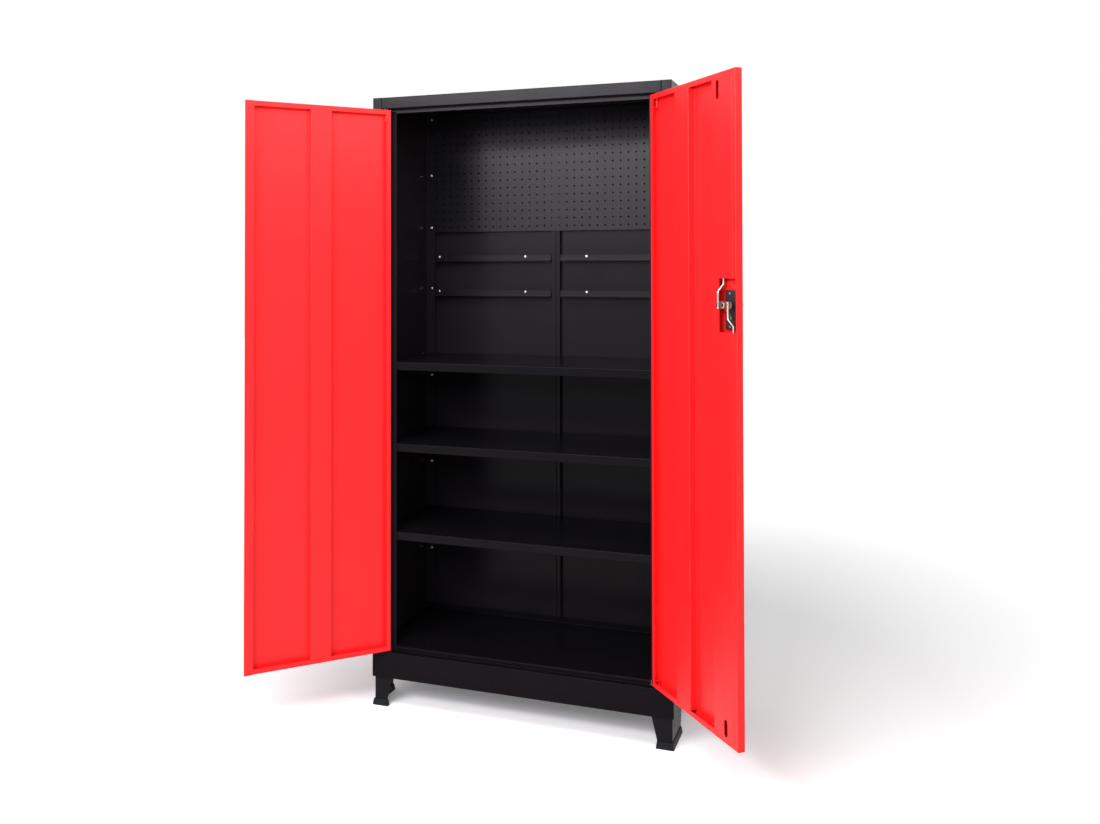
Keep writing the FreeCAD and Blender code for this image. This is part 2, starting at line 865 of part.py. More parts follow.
def make_foot(side, word, end, name):
    """Moulded shoe with drafted walls and a groove for the leg."""
    body = new_body(f"foot_{name}_{word}")
    wide = placed(foot_plan(end, as_size(0), s.foot_bar), side, end)
    narrow = placed(foot_plan(end, s.foot_draft, s.foot_bar - s.foot_draft * 2), side, end)
    loft = body.newObject("PartDesign::AdditiveLoft", f"{body.Label}_shoe")
    loft.Profile = new_sketch(body, "sole", "XY_Plane", as_size(0), [wide])
    loft.Sections = [new_sketch(body, "top", "XY_Plane", s.foot_height, [narrow])]
    loft.Ruled = True
    outside = leg_face(end)
    path = [
        (leg_outer - s.leg_front_foot, outside),
        (leg_outer, outside),
        (leg_outer, outside - s.leg_side_foot),
    ]
    groove = folded(path, s.leg_gauge, metal="right")
    pocket(body, "groove", "XY_Plane", [placed(groove.points, side, end)],
           s.foot_sole, s.foot_height)
    keep(body)


def make_leg_fixings():
    """Packing plates between legs and aprons, and the bolts through both."""
    plates = []
    bolts = []
    radius = s.leg_bolt_radius
    for side, word in SIDES:
        inner, outer = spread(side, leg_outer, leg_outer + packer_thickness)
        for end, name in ((-1, "front"), (1, "rear")):
            places = [place for place in leg_bolt_places() if place[0].value * end > 0]
            plate = new_body(f"packer_{name}_{word}")
            reach = s.leg_bolt_head * 2
            ends = sorted(places, key=lambda place: place[0].value)
            outline = rectangle(ends[0][0] - reach, s.leg_bolt_height - reach,
                                ends[1][0] + reach, s.leg_bolt_height + reach)
            holes = [Circle(place, radius + s.hole_clearance) for place in places]
            pad(plate, "plate", "YZ_Plane", [outline] + holes, inner, outer)
            plates.append(plate)
            for turn, place in enumerate(places):
                bolt = new_body(f"leg_bolt_{name}_{word}_{turn}")
                head_seat = leg_outer - s.leg_gauge
                low, high = spread(side, head_seat, wall_inside)
                pad(bolt, "shank", "YZ_Plane", [Circle(place, radius)], low, high)
                low, high = spread(side, head_seat - s.leg_bolt_head_height, head_seat)
                pad(bolt, "head", "YZ_Plane", [hexagon(place, s.leg_bolt_head)], low, high)
                bolts.append(bolt)
    keep(gathered("leg_packers", plates))
    keep(gathered("leg_bolts", bolts))


def hexagon(centre, apothem):
    """Outline of a six-sided head or nut, two flats upright."""
    across, up = centre
    half_side = apothem / (3 ** 0.5)
    return Polygon([
        (across + apothem, up + half_side),
        (across, up + half_side * 2),
        (across - apothem, up + half_side),
        (across - apothem, up - half_side),
        (across, up - half_side * 2),
        (across + apothem, up - half_side),
    ])


def make_door_panel(side, word):
    """Door folded into a pan with lips; the right one is cut for the lock."""
    body = new_body(f"door_{word}_panel")
    mouth = right_mouth if side > 0 else left_mouth
    left, right = spread(side, free_edge, hinge_edge)
    edges = (left, door_bottom, right, door_top)
    pad(body, "block", "XZ_Plane", [rectangle(*edges)], front, mouth)
    cut_pan(body, "XZ_Plane", front, mouth, edges, (s.door_lip,) * 4)
    hinge_hole = Circle((side * pivot_x, pivot_y), s.hinge_pin_radius + s.hole_clearance)
    ends = ((door_bottom, door_bottom + s.sheet_gauge, lower_rod_x, "bottom"),
            (door_top - s.sheet_gauge, door_top, upper_rod_x, "top"))
    for low, high, rod_x, name in ends:
        holes = [hinge_hole]
        if side > 0:
            holes.append(Circle((rod_x, rod_deep_y), rod_hole_radius))
        pocket(body, f"{name}_holes", "XY_Plane", holes, low, high)
    if side > 0:
        window = rectangle(free_edge + s.sheet_gauge, window_low,
                           free_edge + s.door_lip + s.sheet_gauge, window_high)
        pocket(body, "lock_window", "XZ_Plane", [window], mouth - s.sheet_gauge, mouth)
        seat = rectangle(housing_left, housing_low, housing_right, housing_high)
        pocket(body, "lock_seat", "XZ_Plane", [seat], front, skin_inside)
    keep(body, side)


def door_path(places):
    """Section points given by their distance from the hinge edge."""
    return [(hinge_edge - away, along) for away, along in places]


def make_door_stiffener(side, word, start, width):
    """Hat section that stiffens the door from the bottom lip to the top lip."""
    body = new_body(f"door_{word}_stiffener")
    mouth = right_mouth if side > 0 else left_mouth
    places = [
        (start - s.stiffener_foot, skin_inside),
        (start + s.sheet_gauge, skin_inside),
        (start + s.sheet_gauge, mouth - s.sheet_gauge),
        (start + width - s.sheet_gauge, mouth - s.sheet_gauge),
        (start + width - s.sheet_gauge, skin_inside),
        (start + width + s.stiffener_foot, skin_inside),
    ]
    section = folded(door_path(places), s.sheet_gauge, metal="right")
    pad(body, "sheet", "XY_Plane", [mirrored(section, side)], frame_low, frame_high)
    keep(body, side)


def make_meeting_strip():
    """Strip on the left door's free edge that the right door closes over."""
    body = new_body("door_left_meeting_strip")
    reach = s.strip_overlap
    strip = rectangle(-free_edge + reach - s.strip_width, door_bottom, -free_edge + reach, door_top)
    pad(body, "sheet", "XZ_Plane", [strip], left_mouth, left_mouth + s.sheet_gauge)
    keep(body, -1)


def make_hinge_bracket(side, word, end, low, high):
    """Strap in a hinge corner whose two ears hold the pin."""
    body = new_body(f"door_{word}_{end}_hinge_bracket")
    wall = hinge_edge - s.sheet_gauge
    reach = wall - s.bracket_width
    path = [(reach, low), (wall, low), (wall, high), (reach, high)]
    section = mirrored(folded(path, s.bracket_gauge), side)
    back = left_mouth - s.sheet_gauge - s.sheet_clearance - s.right_door_relief
    pad(body, "strap", "XZ_Plane", [section], skin_inside, back)
    hole = Circle((side * pivot_x, pivot_y), s.hinge_pin_radius)
    pocket(body, "pin_hole", "XY_Plane", [hole], low, high)
    keep(body, side)


def make_hinge_pin(side, word, end, low, high):
    """Pin held by a door bracket that turns in a bush in the ledge."""
    body = new_body(f"door_{word}_{end}_hinge_pin")
    pad(body, "pin", "XY_Plane", [Circle((side * pivot_x, pivot_y), s.hinge_pin_radius)], low, high)
    keep(body, side)


def make_hinges():
    """Brackets and pins on the doors, and the four bushes in the ledges."""
    bottom_low = door_bottom + s.sheet_gauge
    bottom_high = bottom_low + s.bottom_bracket_height
    top_high = door_top - s.top_bracket_drop
    top_low = top_high - s.top_bracket_height
    for side, word in SIDES:
        make_hinge_bracket(side, word, "bottom", bottom_low, bottom_high)
        make_hinge_bracket(side, word, "top", top_low, top_high)
        make_hinge_pin(side, word, "bottom", s.ledge_height - s.pin_reach, bottom_high)
        make_hinge_pin(side, word, "top", top_low, cap_ledge + s.pin_reach)
    flange_height = s.door_end_gap - s.sheet_clearance
    levels = (
        ("bottom", s.ledge_height, s.ledge_height + flange_height,
         s.ledge_height - s.pin_reach, s.ledge_height),
        ("top", cap_ledge - flange_height, cap_ledge, cap_ledge, cap_ledge + s.pin_reach),
    )
    bushes = []
    for end, flange_low, flange_high, barrel_low, barrel_high in levels:
        for side, word in SIDES:
            body = new_body(f"bush_{end}_{word}")
            centre = (side * pivot_x, pivot_y)
            flange = Circle(centre, bush_radius + s.bush_flange)
            pad(body, "flange", "XY_Plane", [flange], flange_low, flange_high)
            pad(body, "barrel", "XY_Plane", [Circle(centre, bush_radius)], barrel_low, barrel_high)
            low = barrel_low if end == "bottom" else flange_low
            high = flange_high if end == "bottom" else barrel_high
            pocket(body, "bore", "XY_Plane", [Circle(centre, bush_bore)], low, high)
            bushes.append(body)
    keep(gathered("hinge_bushes", bushes))


def make_lock_channel():
    """Cover over the lock rods with a window at the lock and a slot near each end."""
    body = new_body("door_right_lock_channel")
    mouth = right_mouth
    start = free_edge + s.channel_reach
    end = free_edge + s.door_lip + s.channel_joint
    path = [
        (start + s.stiffener_foot, skin_inside),
        (start - s.sheet_gauge, skin_inside),
        (start - s.sheet_gauge, mouth - s.sheet_gauge),
        (end + s.sheet_gauge, mouth - s.sheet_gauge),
        (end + s.sheet_gauge, skin_inside),
    ]
    section = folded(path, s.sheet_gauge, metal="right")
    pad(body, "sheet", "XY_Plane", [section], frame_low, frame_high)
    window = rectangle(free_edge, window_low, free_edge + s.window_reach, window_high)
    pocket(body, "window", "XZ_Plane", [window], skin_inside, mouth)
    slots = []
    radius = s.slot_width / 2
    for inset, height, length in (
            (s.upper_slot_inset, upper_slot_height, s.upper_slot_length),
            (s.lower_slot_inset, lower_slot_height, s.lower_slot_length)):
        across = free_edge + inset
        reach = length / 2 - radius
        slots.append(Slot((across, height - reach), (across, height + reach), radius))
    pocket(body, "slots", "XZ_Plane", slots, mouth - s.sheet_gauge, mouth)
    keep(body, 1)


def make_lock_housing():
    """Lock case in the door skin with a rounded escutcheon outside."""
    body = new_body("lock_housing")
    case = rectangle(housing_left, housing_low, housing_right, housing_high)
    pad(body, "case", "XZ_Plane", [case], front, front + s.housing_depth)
    margin = s.escutcheon_margin
    radius = s.escutcheon_radius
    left = housing_left - margin
    right = housing_right + margin
    low = housing_low - margin
    high = housing_high + margin
    plate = pad(body, "escutcheon", "XZ_Plane", [rectangle(left, low, right, high)],
                front - s.escutcheon_thickness, front)
    document.recompute()
    corners = upright_edges(plate.Shape, front - s.escutcheon_thickness, front)
    rounded = body.newObject("PartDesign::Fillet", "lock_housing_corners")
    rounded.Base = (plate, corners)
    rounded.setExpression("Radius", radius.text)
    bore = Circle((spindle_x, s.spindle_height), s.spindle_radius + s.running_clearance)
    pocket(body, "bore", "XZ_Plane", [bore], front - s.escutcheon_thickness,
           front + s.housing_depth)
    keep(body, 1)


def upright_edges(shape, low, high):
    """Names of the straight edges that run along Y from one level to the other."""
    names = []
    for number, edge in enumerate(shape.Edges, 1):
        box = edge.BoundBox
        if abs(box.YMin - low.value) < 1e-6 and abs(box.YMax - high.value) < 1e-6:
            names.append(f"Edge{number}")
    return names


def make_lock_handle():
    """Lever handle with its hub, and the spindle that carries the cam."""
    body = new_body("lock_handle")
    centre = (spindle_x, s.spindle_height)
    gap = s.sheet_clearance
    hub_back = handle_seat - gap
    outer = hub_back - s.lever_height
    pad(body, "hub", "XZ_Plane", [Circle(centre, s.hub_radius)], outer, hub_back)
    tip = (spindle_x + s.lever_across, s.spindle_height - s.lever_drop)
    lever = Slot(centre, tip, s.lever_width / 2)
    pad(body, "lever", "XZ_Plane", [lever], outer, outer + s.lever_thickness)
    pad(body, "spindle", "XZ_Plane", [Circle(centre, s.spindle_radius)], hub_back, cam_front)
    neck = Circle(centre, s.neck_radius)
    pad(body, "neck", "XZ_Plane", [neck], cam_front, cam_back + s.nut_height)
    plug_room = Circle(centre, s.plug_radius + s.running_clearance)
    pocket(body, "plug_bore", "XZ_Plane", [plug_room], outer, outer + s.plug_depth)
    keep(body, 1)
    plug = new_body("lock_plug")
    pad(plug, "barrel", "XZ_Plane", [Circle(centre, s.plug_radius)], outer,
        outer + s.plug_depth - s.sheet_clearance)
    keyway = rectangle(spindle_x - s.keyway_width / 2, s.spindle_height - s.keyway_length / 2,
                       spindle_x + s.keyway_width / 2, s.spindle_height + s.keyway_length / 2)
    pocket(plug, "keyway", "XZ_Plane", [keyway], outer, outer + s.keyway_depth)
    keep(plug, 1)


def make_lock_cam():
    """Two-armed cam on the spindle, and the nut that holds it."""
    cam = new_body("lock_cam")
    centre = (spindle_x, s.spindle_height)
    arms = Slot((lower_rod_x, s.spindle_height), (upper_rod_x, s.spindle_height), s.cam_end_radius)
    pad(cam, "plate", "XZ_Plane", [arms], cam_front, cam_back)
    pocket(cam, "spindle_hole", "XZ_Plane", [Circle(centre, s.neck_radius)],
           cam_front, cam_back)
    keep(cam, 1)
    nut = new_body("cam_nut")
    outline = [hexagon(centre, s.nut_width / 2), Circle(centre, s.neck_radius)]
    pad(nut, "nut", "XZ_Plane", outline, cam_back, cam_back + s.nut_height)
    keep(nut, 1)


def make_rod(label, rod_x, way, tip):
    """Round rod from the cam's arm, jogged into the channel and on to its tip."""
    body = new_body(label)
    first = s.spindle_height - s.cam_end_radius * way
    corner = s.spindle_height + s.rod_jog_start * way
    second = corner + s.rod_jog_rise * way
    corners = [(rod_front_y, first), (rod_front_y, corner), (rod_deep_y, second), (rod_deep_y, tip)]
    path = body.newObject("Sketcher::SketchObject", f"{label}_path")
    path.AttachmentSupport = [(origin_feature(body, "YZ_Plane"), "")]
    path.MapMode = "FlatFace"
    path.setExpression("AttachmentOffset.Base.z", rod_x.text)
    draw_rounded_path(path, corners, s.rod_bend_radius)
    start = Circle((rod_x, rod_front_y), s.rod_radius)
    section = new_sketch(body, "section", "XY_Plane", first, [start])
    rod = body.newObject("PartDesign::AdditivePipe", f"{label}_bar")
    rod.Profile = section
    rod.Spine = path
    keep(body, 1)


def draw_rounded_path(sketch, corners, radius):
    """Draw straight runs joined by tangent arcs at the inner corners."""
    corners = [(as_size(across), as_size(up)) for across, up in corners]
    places = [point(*corner) for corner in corners]
    runs = []
    arcs = []
    start = places[0]
    for turn in range(1, len(places) - 1):
        into = (places[turn] - places[turn - 1]).normalize()
        out = (places[turn + 1] - places[turn]).normalize()
        half_turn = into.getAngle(out) / 2
        cut = radius.value * math.tan(half_turn)
        begin = places[turn] - into * cut
        finish = places[turn] + out * cut
        centre = places[turn] + (out - into).normalize() * (radius.value / math.cos(half_turn))
        to_left = into.cross(out).z > 0
        ends = (begin, finish) if to_left else (finish, begin)
        angles = [math.atan2(place.y - centre.y, place.x - centre.x) for place in ends]
        circle = Part.Circle(centre, Vector(0, 0, 1), radius.value)
        runs.append(sketch.addGeometry(Part.LineSegment(start, begin), False))
        arc = sketch.addGeometry(Part.ArcOfCircle(circle, *angles), False)
        arcs.append((arc, (1, 2) if to_left else (2, 1)))
        start = finish
    runs.append(sketch.addGeometry(Part.LineSegment(start, places[-1]), False))
    for turn, (arc, (near, far)) in enumerate(arcs):
        sketch.addConstraint(Sketcher.Constraint("Tangent", runs[turn], 2, arc, near))
        sketch.addConstraint(Sketcher.Constraint("Tangent", runs[turn + 1], 1, arc, far))
        hold_radius(sketch, arc, radius)
    hold_point(sketch, runs[0], 1, corners[0])
    hold_point(sketch, runs[-1], 2, corners[-1])
    for turn in range(1, len(corners) - 1):
        mark = sketch.addGeometry(Part.Point(places[turn]), True)
        hold_point(sketch, mark, 1, corners[turn])
        for run in (runs[turn - 1], runs[turn]):
            sketch.addConstraint(Sketcher.Constraint("PointOnObject", mark, 1, run))


def make_rods():
    """The two lock rods and the guides that steer them near the door's ends."""
    gap = s.rod_end_gap
    make_rod("lock_rod_upper", upper_rod_x, 1, door_top + gap)
    make_rod("lock_rod_lower", lower_rod_x, -1, door_bottom - gap)
    guides = []
    for name, rod_x, height in (("upper", upper_rod_x, upper_slot_height),
                                ("lower", lower_rod_x, lower_slot_height)):
        guide = new_body(f"rod_guide_{name}")
        block = rectangle(rod_x - s.guide_half_width, skin_inside, rod_x + s.guide_half_width,
                          rod_deep_y + s.slot_width / 2)
        bore = Circle((rod_x, rod_deep_y), s.rod_radius + s.running_clearance)
        pad(guide, "block", "XY_Plane", [block, bore], height - s.slot_width / 2,
            height + s.slot_width / 2)
        guides.append(guide)
    group = gathered("rod_guides", guides)
    keep(group, 1)


def check_and_export():
    """Stop on any failed object, then write each node to its own file."""
    document.recompute()
    for item in document.Objects:
        if "Invalid" in item.State or "Error" in item.State:
            raise RuntimeError(f"{item.Label} failed: {item.State}")
    for body in document.findObjects("PartDesign::Body"):
        volume = None
        for feature in body.Group:
            if not feature.isDerivedFrom("PartDesign::Feature"):
                continue
            if feature.TypeId == "PartDesign::Pocket" and not feature.Shape.Volume < volume - 1e-6:
                raise RuntimeError(f"{feature.Label} cuts nothing")
            volume = feature.Shape.Volume
    os.makedirs("parts", exist_ok=True)
    for node in nodes:
        if node.Shape.isNull() or not node.Shape.isValid():
            raise RuntimeError(f"{node.Label} has no valid shape")
        node.Shape.exportStep(os.path.join("parts", f"{node.Label}.step"))
    print(f"{len(nodes)} nodes written")


def main():
    """Build the cabinet piece by piece."""
    make_top_cap()
    make_base_tray()
    for side, word in SIDES:
        make_side_panel(side, word)
        make_back_panel(side, word)
    make_pegboard()
    for word, top in zip(("lower", "middle", "upper"), shelf_tops()):
        make_shelf(word, top)
    make_shelf_clips()
    make_rails_and_screws()
    for side, word in SIDES:
        for end, name in ((-1, "front"), (1, "rear")):
            make_leg(side, word, end, name)
            make_foot(side, word, end, name)
    make_leg_fixings()
    make_door_panel(-1, "left")
    make_door_stiffener(-1, "left", s.left_stiffener_start, s.left_stiffener_width)
    make_meeting_strip()
    make_door_panel(1, "right")
    make_door_stiffener(1, "right", s.right_stiffener_start, s.right_stiffener_width)
    make_hinges()
    make_lock_channel()
    make_lock_housing()
    make_lock_handle()
    make_lock_cam()
    make_rods()
    check_and_export()


main()
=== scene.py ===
"""Looks of a steel tool cabinet with two hinged doors, built round its CAD frame.

Metres, with X to the right, Y to the back and Z up. The doors' pieces are drawn as if the doors
were closed, then turned about their hinges to the open rest pose.
"""
import json
import logging
import math
from collections.abc import Iterable, Sequence
from dataclasses import dataclass, field
from enum import Enum

import bmesh
import bpy
from mathutils import Matrix, Vector


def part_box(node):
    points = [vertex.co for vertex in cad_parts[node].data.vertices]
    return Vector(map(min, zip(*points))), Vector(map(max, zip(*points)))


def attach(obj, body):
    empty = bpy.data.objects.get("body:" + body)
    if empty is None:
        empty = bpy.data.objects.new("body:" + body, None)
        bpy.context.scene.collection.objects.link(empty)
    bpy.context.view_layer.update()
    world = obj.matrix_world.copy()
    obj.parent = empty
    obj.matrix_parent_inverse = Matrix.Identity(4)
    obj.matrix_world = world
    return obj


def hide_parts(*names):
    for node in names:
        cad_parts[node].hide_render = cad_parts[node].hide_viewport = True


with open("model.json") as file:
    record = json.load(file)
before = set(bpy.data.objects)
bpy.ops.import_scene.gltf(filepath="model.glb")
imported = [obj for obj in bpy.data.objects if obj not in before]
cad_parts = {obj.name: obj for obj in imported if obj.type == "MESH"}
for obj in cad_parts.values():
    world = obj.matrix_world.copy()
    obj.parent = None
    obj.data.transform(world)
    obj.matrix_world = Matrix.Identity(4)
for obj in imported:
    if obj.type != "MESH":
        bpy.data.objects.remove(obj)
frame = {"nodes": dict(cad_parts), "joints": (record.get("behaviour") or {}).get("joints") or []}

log = logging.getLogger("cabinet")

Point = tuple[float, float]
Pair = tuple[Point, Point]
Place = tuple[float, float, float]
Tone = tuple[float, float, float]
Edges = tuple[float, float, float, float]
Shape = bmesh.types.BMesh
Corners = list[bmesh.types.BMVert]
Socket = bpy.types.NodeSocket
Inputs = bpy.types.NodeInputs

# Corners nearer than this merge, and edges shorter than a sliver go.
MERGE_DISTANCE = 1e-7
SLIVER = 1e-6
# Faces that meet at a larger angle keep a sharp edge between them.
SHARP_ANGLE = math.radians(32)
# Most of the noise lies between these two values.
NOISE_START = 0.3
NOISE_END = 0.7
# A hexagon's distance across the flats, as a share of the distance across the corners.
HEX_SIDES = 6
HEX_FLAT_SHARE = math.cos(math.pi / HEX_SIDES)
# Directions that a screw or a turned piece faces.
TO_FRONT = (0, -1, 0)
TO_REAR = (0, 1, 0)


class Axis(Enum):
    """The world axis that a section is drawn out along.

    Its value says which of across, up and along gives each coordinate of a place.
    """

    X = (2, 0, 1)
    Y = (0, 2, 1)
    Z = (0, 1, 2)

    def place(self, across: float, up: float, along: float) -> Vector:
        """Turn a section's point and a distance along the axis into a place."""
        return Vector([(across, up, along)[part] for part in self.value])


class Metal(Enum):
    """The side of its path that a folded sheet's metal lies on, seen along the path."""

    LEFT = 1
    RIGHT = -1


class Sign(Enum):
    """A way along an axis: its value is its sign, and its name is a word in the nodes' names."""

    @property
    def word(self) -> str:
        """The word in the nodes' names."""
        return self.name.lower()


class Side(Sign):
    """A side of the cabinet, seen from the front."""

    LEFT = -1
    RIGHT = 1


class End(Sign):
    """The front or the rear of the cabinet."""

    FRONT = -1
    REAR = 1


class Way(Sign):
    """The way that a lock rod runs from the cam."""

    UPPER = 1
    LOWER = -1


class Body(Enum):
    """The moving bodies of the frame."""

    CABINET = "cabinet"
    LEFT_DOOR = "door_left"
    RIGHT_DOOR = "door_right"
    HANDLE = "lock_handle"
    PLUG = "lock_plug"
    UPPER_ROD = "lock_rod_upper"
    LOWER_ROD = "lock_rod_lower"


# ---------------------------------------------------------------- shapes


@dataclass(frozen=True)
class Sheet:
    """Sheet metal: its gauge, the inside radius of its bends and the steps that round a bend."""

    gauge: float = 0.0008
    bend: float = 0.0008
    steps: int = 4

    def section(self, path: Sequence[Point], metal: Metal) -> list[Pair]:
        """Round a folded sheet's section.

        Args:
            path: Corners of the sheet's one face, as if its bends were sharp.
            metal: The side of the path that the metal lies on.

        Returns:
            Matching points of the two faces, from one edge of the sheet to the other.
        """
        corners = [Vector(place) for place in path]
        ways = [(after - before).normalized() for before, after in zip(corners, corners[1:])]
        lefts = [Vector((-way.y, way.x)) for way in ways]
        depth = self.gauge * metal.value
        pairs = [(corners[0], corners[0] + lefts[0] * depth)]
        for number in range(1, len(corners) - 1):
            pairs += self.round_corner(corners[number], ways[number - 1:number + 1],
                                       lefts[number - 1:number + 1], metal)
        pairs.append((corners[-1], corners[-1] + lefts[-1] * depth))
        return [(tuple(near), tuple(far)) for near, far in pairs]

    def round_corner(self, corner: Vector, ways: list[Vector], lefts: list[Vector],
                     metal: Metal) -> list[tuple[Vector, Vector]]:
        """Round one bend.

        Args:
            corner: The sharp corner of the path.
            ways: Directions of the path before and after the corner.
            lefts: The same two directions turned to the left.
            metal: The side of the path that the metal lies on.

        Returns:
            Matching points of both faces, in the order of the path.
        """
        turn = math.atan2(ways[0].cross(ways[1]), ways[0].dot(ways[1]))
        side = 1 if turn > 0 else -1
        inside = side == metal.value
        near = self.bend + self.gauge if inside else self.bend
        far = self.bend if inside else self.bend + self.gauge
        centre = corner - ways[0] * near * math.tan(abs(turn) / 2) + lefts[0] * side * near
        points = []
        for step in range(self.steps + 1):
            angle = turn * step / self.steps
            spoke = lefts[0] * -side
            spoke.rotate(Matrix.Rotation(angle, 2))
            points.append((centre + spoke * near, centre + spoke * far))
        return points


def skin(shape: Shape) -> Shape:
    """Close a shape's skin.

    Args:
        shape: A shape whose faces may meet in doubled corners and face either way.

    Returns:
        The same shape with its corners merged and all its faces turned outward.
    """
    bmesh.ops.remove_doubles(shape, verts=shape.verts, dist=MERGE_DISTANCE)
    bmesh.ops.recalc_face_normals(shape, faces=shape.faces)
    return shape


def strip(shape: Shape, near: Corners, far: Corners, closed: bool = False) -> None:
    """Join two rows of corners with quads.

    Args:
        shape: The shape that takes the faces.
        near: One row.
        far: The other row, with as many corners.
        closed: Whether the rows are rings, whose ends join too.
    """
    count = len(near) if closed else len(near) - 1
    for number in range(count):
        after = (number + 1) % len(near)
        shape.faces.new((near[number], near[after], far[after], far[number]))


def drawn(pairs: Sequence[Pair], axis: Axis, low: float, high: float) -> Shape:
    """Draw a folded sheet's section out along an axis."""
    return lofted([pairs, pairs], axis, [low, high])


def lofted(sections: Sequence[Sequence[Pair]], axis: Axis, levels: Sequence[float]) -> Shape:
    """Join sheet sections at several levels.

    Args:
        sections: One section for each level, all with the same number of pairs.
        axis: The axis that the levels lie along.
        levels: Distances along the axis.

    Returns:
        A closed shell.
    """
    shape = bmesh.new()
    rings = []
    for pairs, level in zip(sections, levels):
        near = [shape.verts.new(axis.place(*pair[0], level)) for pair in pairs]
        far = [shape.verts.new(axis.place(*pair[1], level)) for pair in pairs]
        rings.append((near, far))
    for (near, far), (next_near, next_far) in zip(rings, rings[1:]):
        strip(shape, near + far[::-1], next_near + next_far[::-1], closed=True)
    for near, far in (rings[0], rings[-1]):
        strip(shape, near, far)
    return skin(shape)


def slab(outline: Sequence[Point], axis: Axis, low: float, high: float) -> Shape:
    """Draw a plain outline out along an axis."""
    return stacked([outline, outline], axis, [low, high])


def stacked(outlines: Sequence[Sequence[Point]], axis: Axis, levels: Sequence[float]) -> Shape:
    """Join plain outlines at several levels into a closed shell."""
    return skinned([[axis.place(*place, level) for place in outline]
                    for outline, level in zip(outlines, levels)])


def skinned(rows: Sequence[Sequence[Vector]]) -> Shape:
    """Join closed rings of places.

    Args:
        rows: The rings, from one end to the other, all with the same number of places.

    Returns:
        A closed shell with a flat face at each end.
    """
    shape = bmesh.new()
    rings = [[shape.verts.new(place) for place in row] for row in rows]
    for near, far in zip(rings, rings[1:]):
        strip(shape, near, far, closed=True)
    shape.faces.new(rings[0])
    shape.faces.new(rings[-1])
    return skin(shape)


def block(low: Sequence[float], high: Sequence[float]) -> Shape:
    """A square block between two corners."""
    outline = rectangle(low[0], low[1], high[0], high[1])
    return slab(outline, Axis.Z, low[2], high[2])


def rectangle(left: float, bottom: float, right: float, top: float) -> list[Point]:
    """Corners of a rectangle."""
    return [(left, bottom), (right, bottom), (right, top), (left, top)]


def ring(centre: Point, radius: float, count: int = 24, start: float = 0.0) -> list[Point]:
    """Points round a circle."""
    angles = [start + math.tau * number / count for number in range(count)]
    return [(centre[0] + radius * math.cos(angle), centre[1] + radius * math.sin(angle))
            for angle in angles]


def long_hole(start: Point, end: Point, radius: float, steps: int = 8) -> list[Point]:
    """Draw an outline with two round ends.

    Args:
        start: Middle of one end.
        end: Middle of the other end.
        radius: Radius of the ends.
        steps: Steps round each end.

    Returns:
        The outline's points.
    """
    way = math.atan2(end[1] - start[1], end[0] - start[0])
    points = []
    for centre, first in ((end, way - math.pi / 2), (start, way + math.pi / 2)):
        points += ring(centre, radius, steps * 2, first)[:steps + 1]
    return points


def rounded(outline: Sequence[Point], radius: float, steps: int = 4) -> list[Point]:
    """Round every corner of a plain outline.

    Args:
        outline: The outline with sharp corners.
        radius: Radius of the round corners.
        steps: Steps round each corner.

    Returns:
        The rounded outline's points.
    """
    points = []
    count = len(outline)
    for number in range(count):
        corner = Vector(outline[number])
        into = (corner - Vector(outline[number - 1])).normalized()
        out = (Vector(outline[(number + 1) % count]) - corner).normalized()
        turn = math.atan2(into.cross(out), into.dot(out))
        side = 1 if turn > 0 else -1
        left = Vector((-into.y, into.x)) * side
        centre = corner - into * radius * math.tan(abs(turn) / 2) + left * radius
        for step in range(steps + 1):
            spoke = -left * radius
            spoke.rotate(Matrix.Rotation(turn * step / steps, 2))
            points.append(tuple(centre + spoke))
    return points


def pan(edges: Edges, face: float, mouth: float, lips: Edges, axis: Axis, sheet: Sheet) -> Shape:
    """Fold a tray from sheet: a flat face, four walls and a lip along each wall.

    Args:
        edges: Left, bottom, right and top of the outside.
        face: Level of the flat face's outside along the axis.
        mouth: Level of the lips' outside along the axis.
        lips: Width of each lip, in the order of the edges.
        axis: The axis across the flat face.
        sheet: The metal and its bends.

    Returns:
        A closed shell.
    """
    depth = abs(mouth - face)
    inward = 1 if mouth > face else -1
    start = (sheet.bend + sheet.gauge) * 2
    profile = sheet.section([(start, 0.0), (0.0, 0.0), (0.0, depth), (start, depth)], Metal.RIGHT)
    shape = bmesh.new()

    def loop(inset: float, level: float, lip: bool) -> Corners:
        """Lay one ring of corners.

        Args:
            inset: Distance in from the edges.
            level: Distance in from the flat face.
            lip: Whether the ring is the lips' free edge, which has insets of its own.

        Returns:
            The ring's corners.
        """
        left, bottom, right, top = edges
        insets = lips if lip else (inset,) * len(edges)
        corners = rectangle(left + insets[0], bottom + insets[1],
                            right - insets[2], top - insets[3])
        height = face + level * inward
        return [shape.verts.new(axis.place(*corner, height)) for corner in corners]

    last = len(profile) - 1
    outer = [loop(*pair[0], number == last) for number, pair in enumerate(profile)]
    inner = [loop(*pair[1], number == last) for number, pair in enumerate(profile)]
    for row in (outer, inner):
        shape.faces.new(row[0])
        for ring_of, following in zip(row, row[1:]):
            strip(shape, ring_of, following, closed=True)
    strip(shape, outer[-1], inner[-1], closed=True)
    return skin(shape)


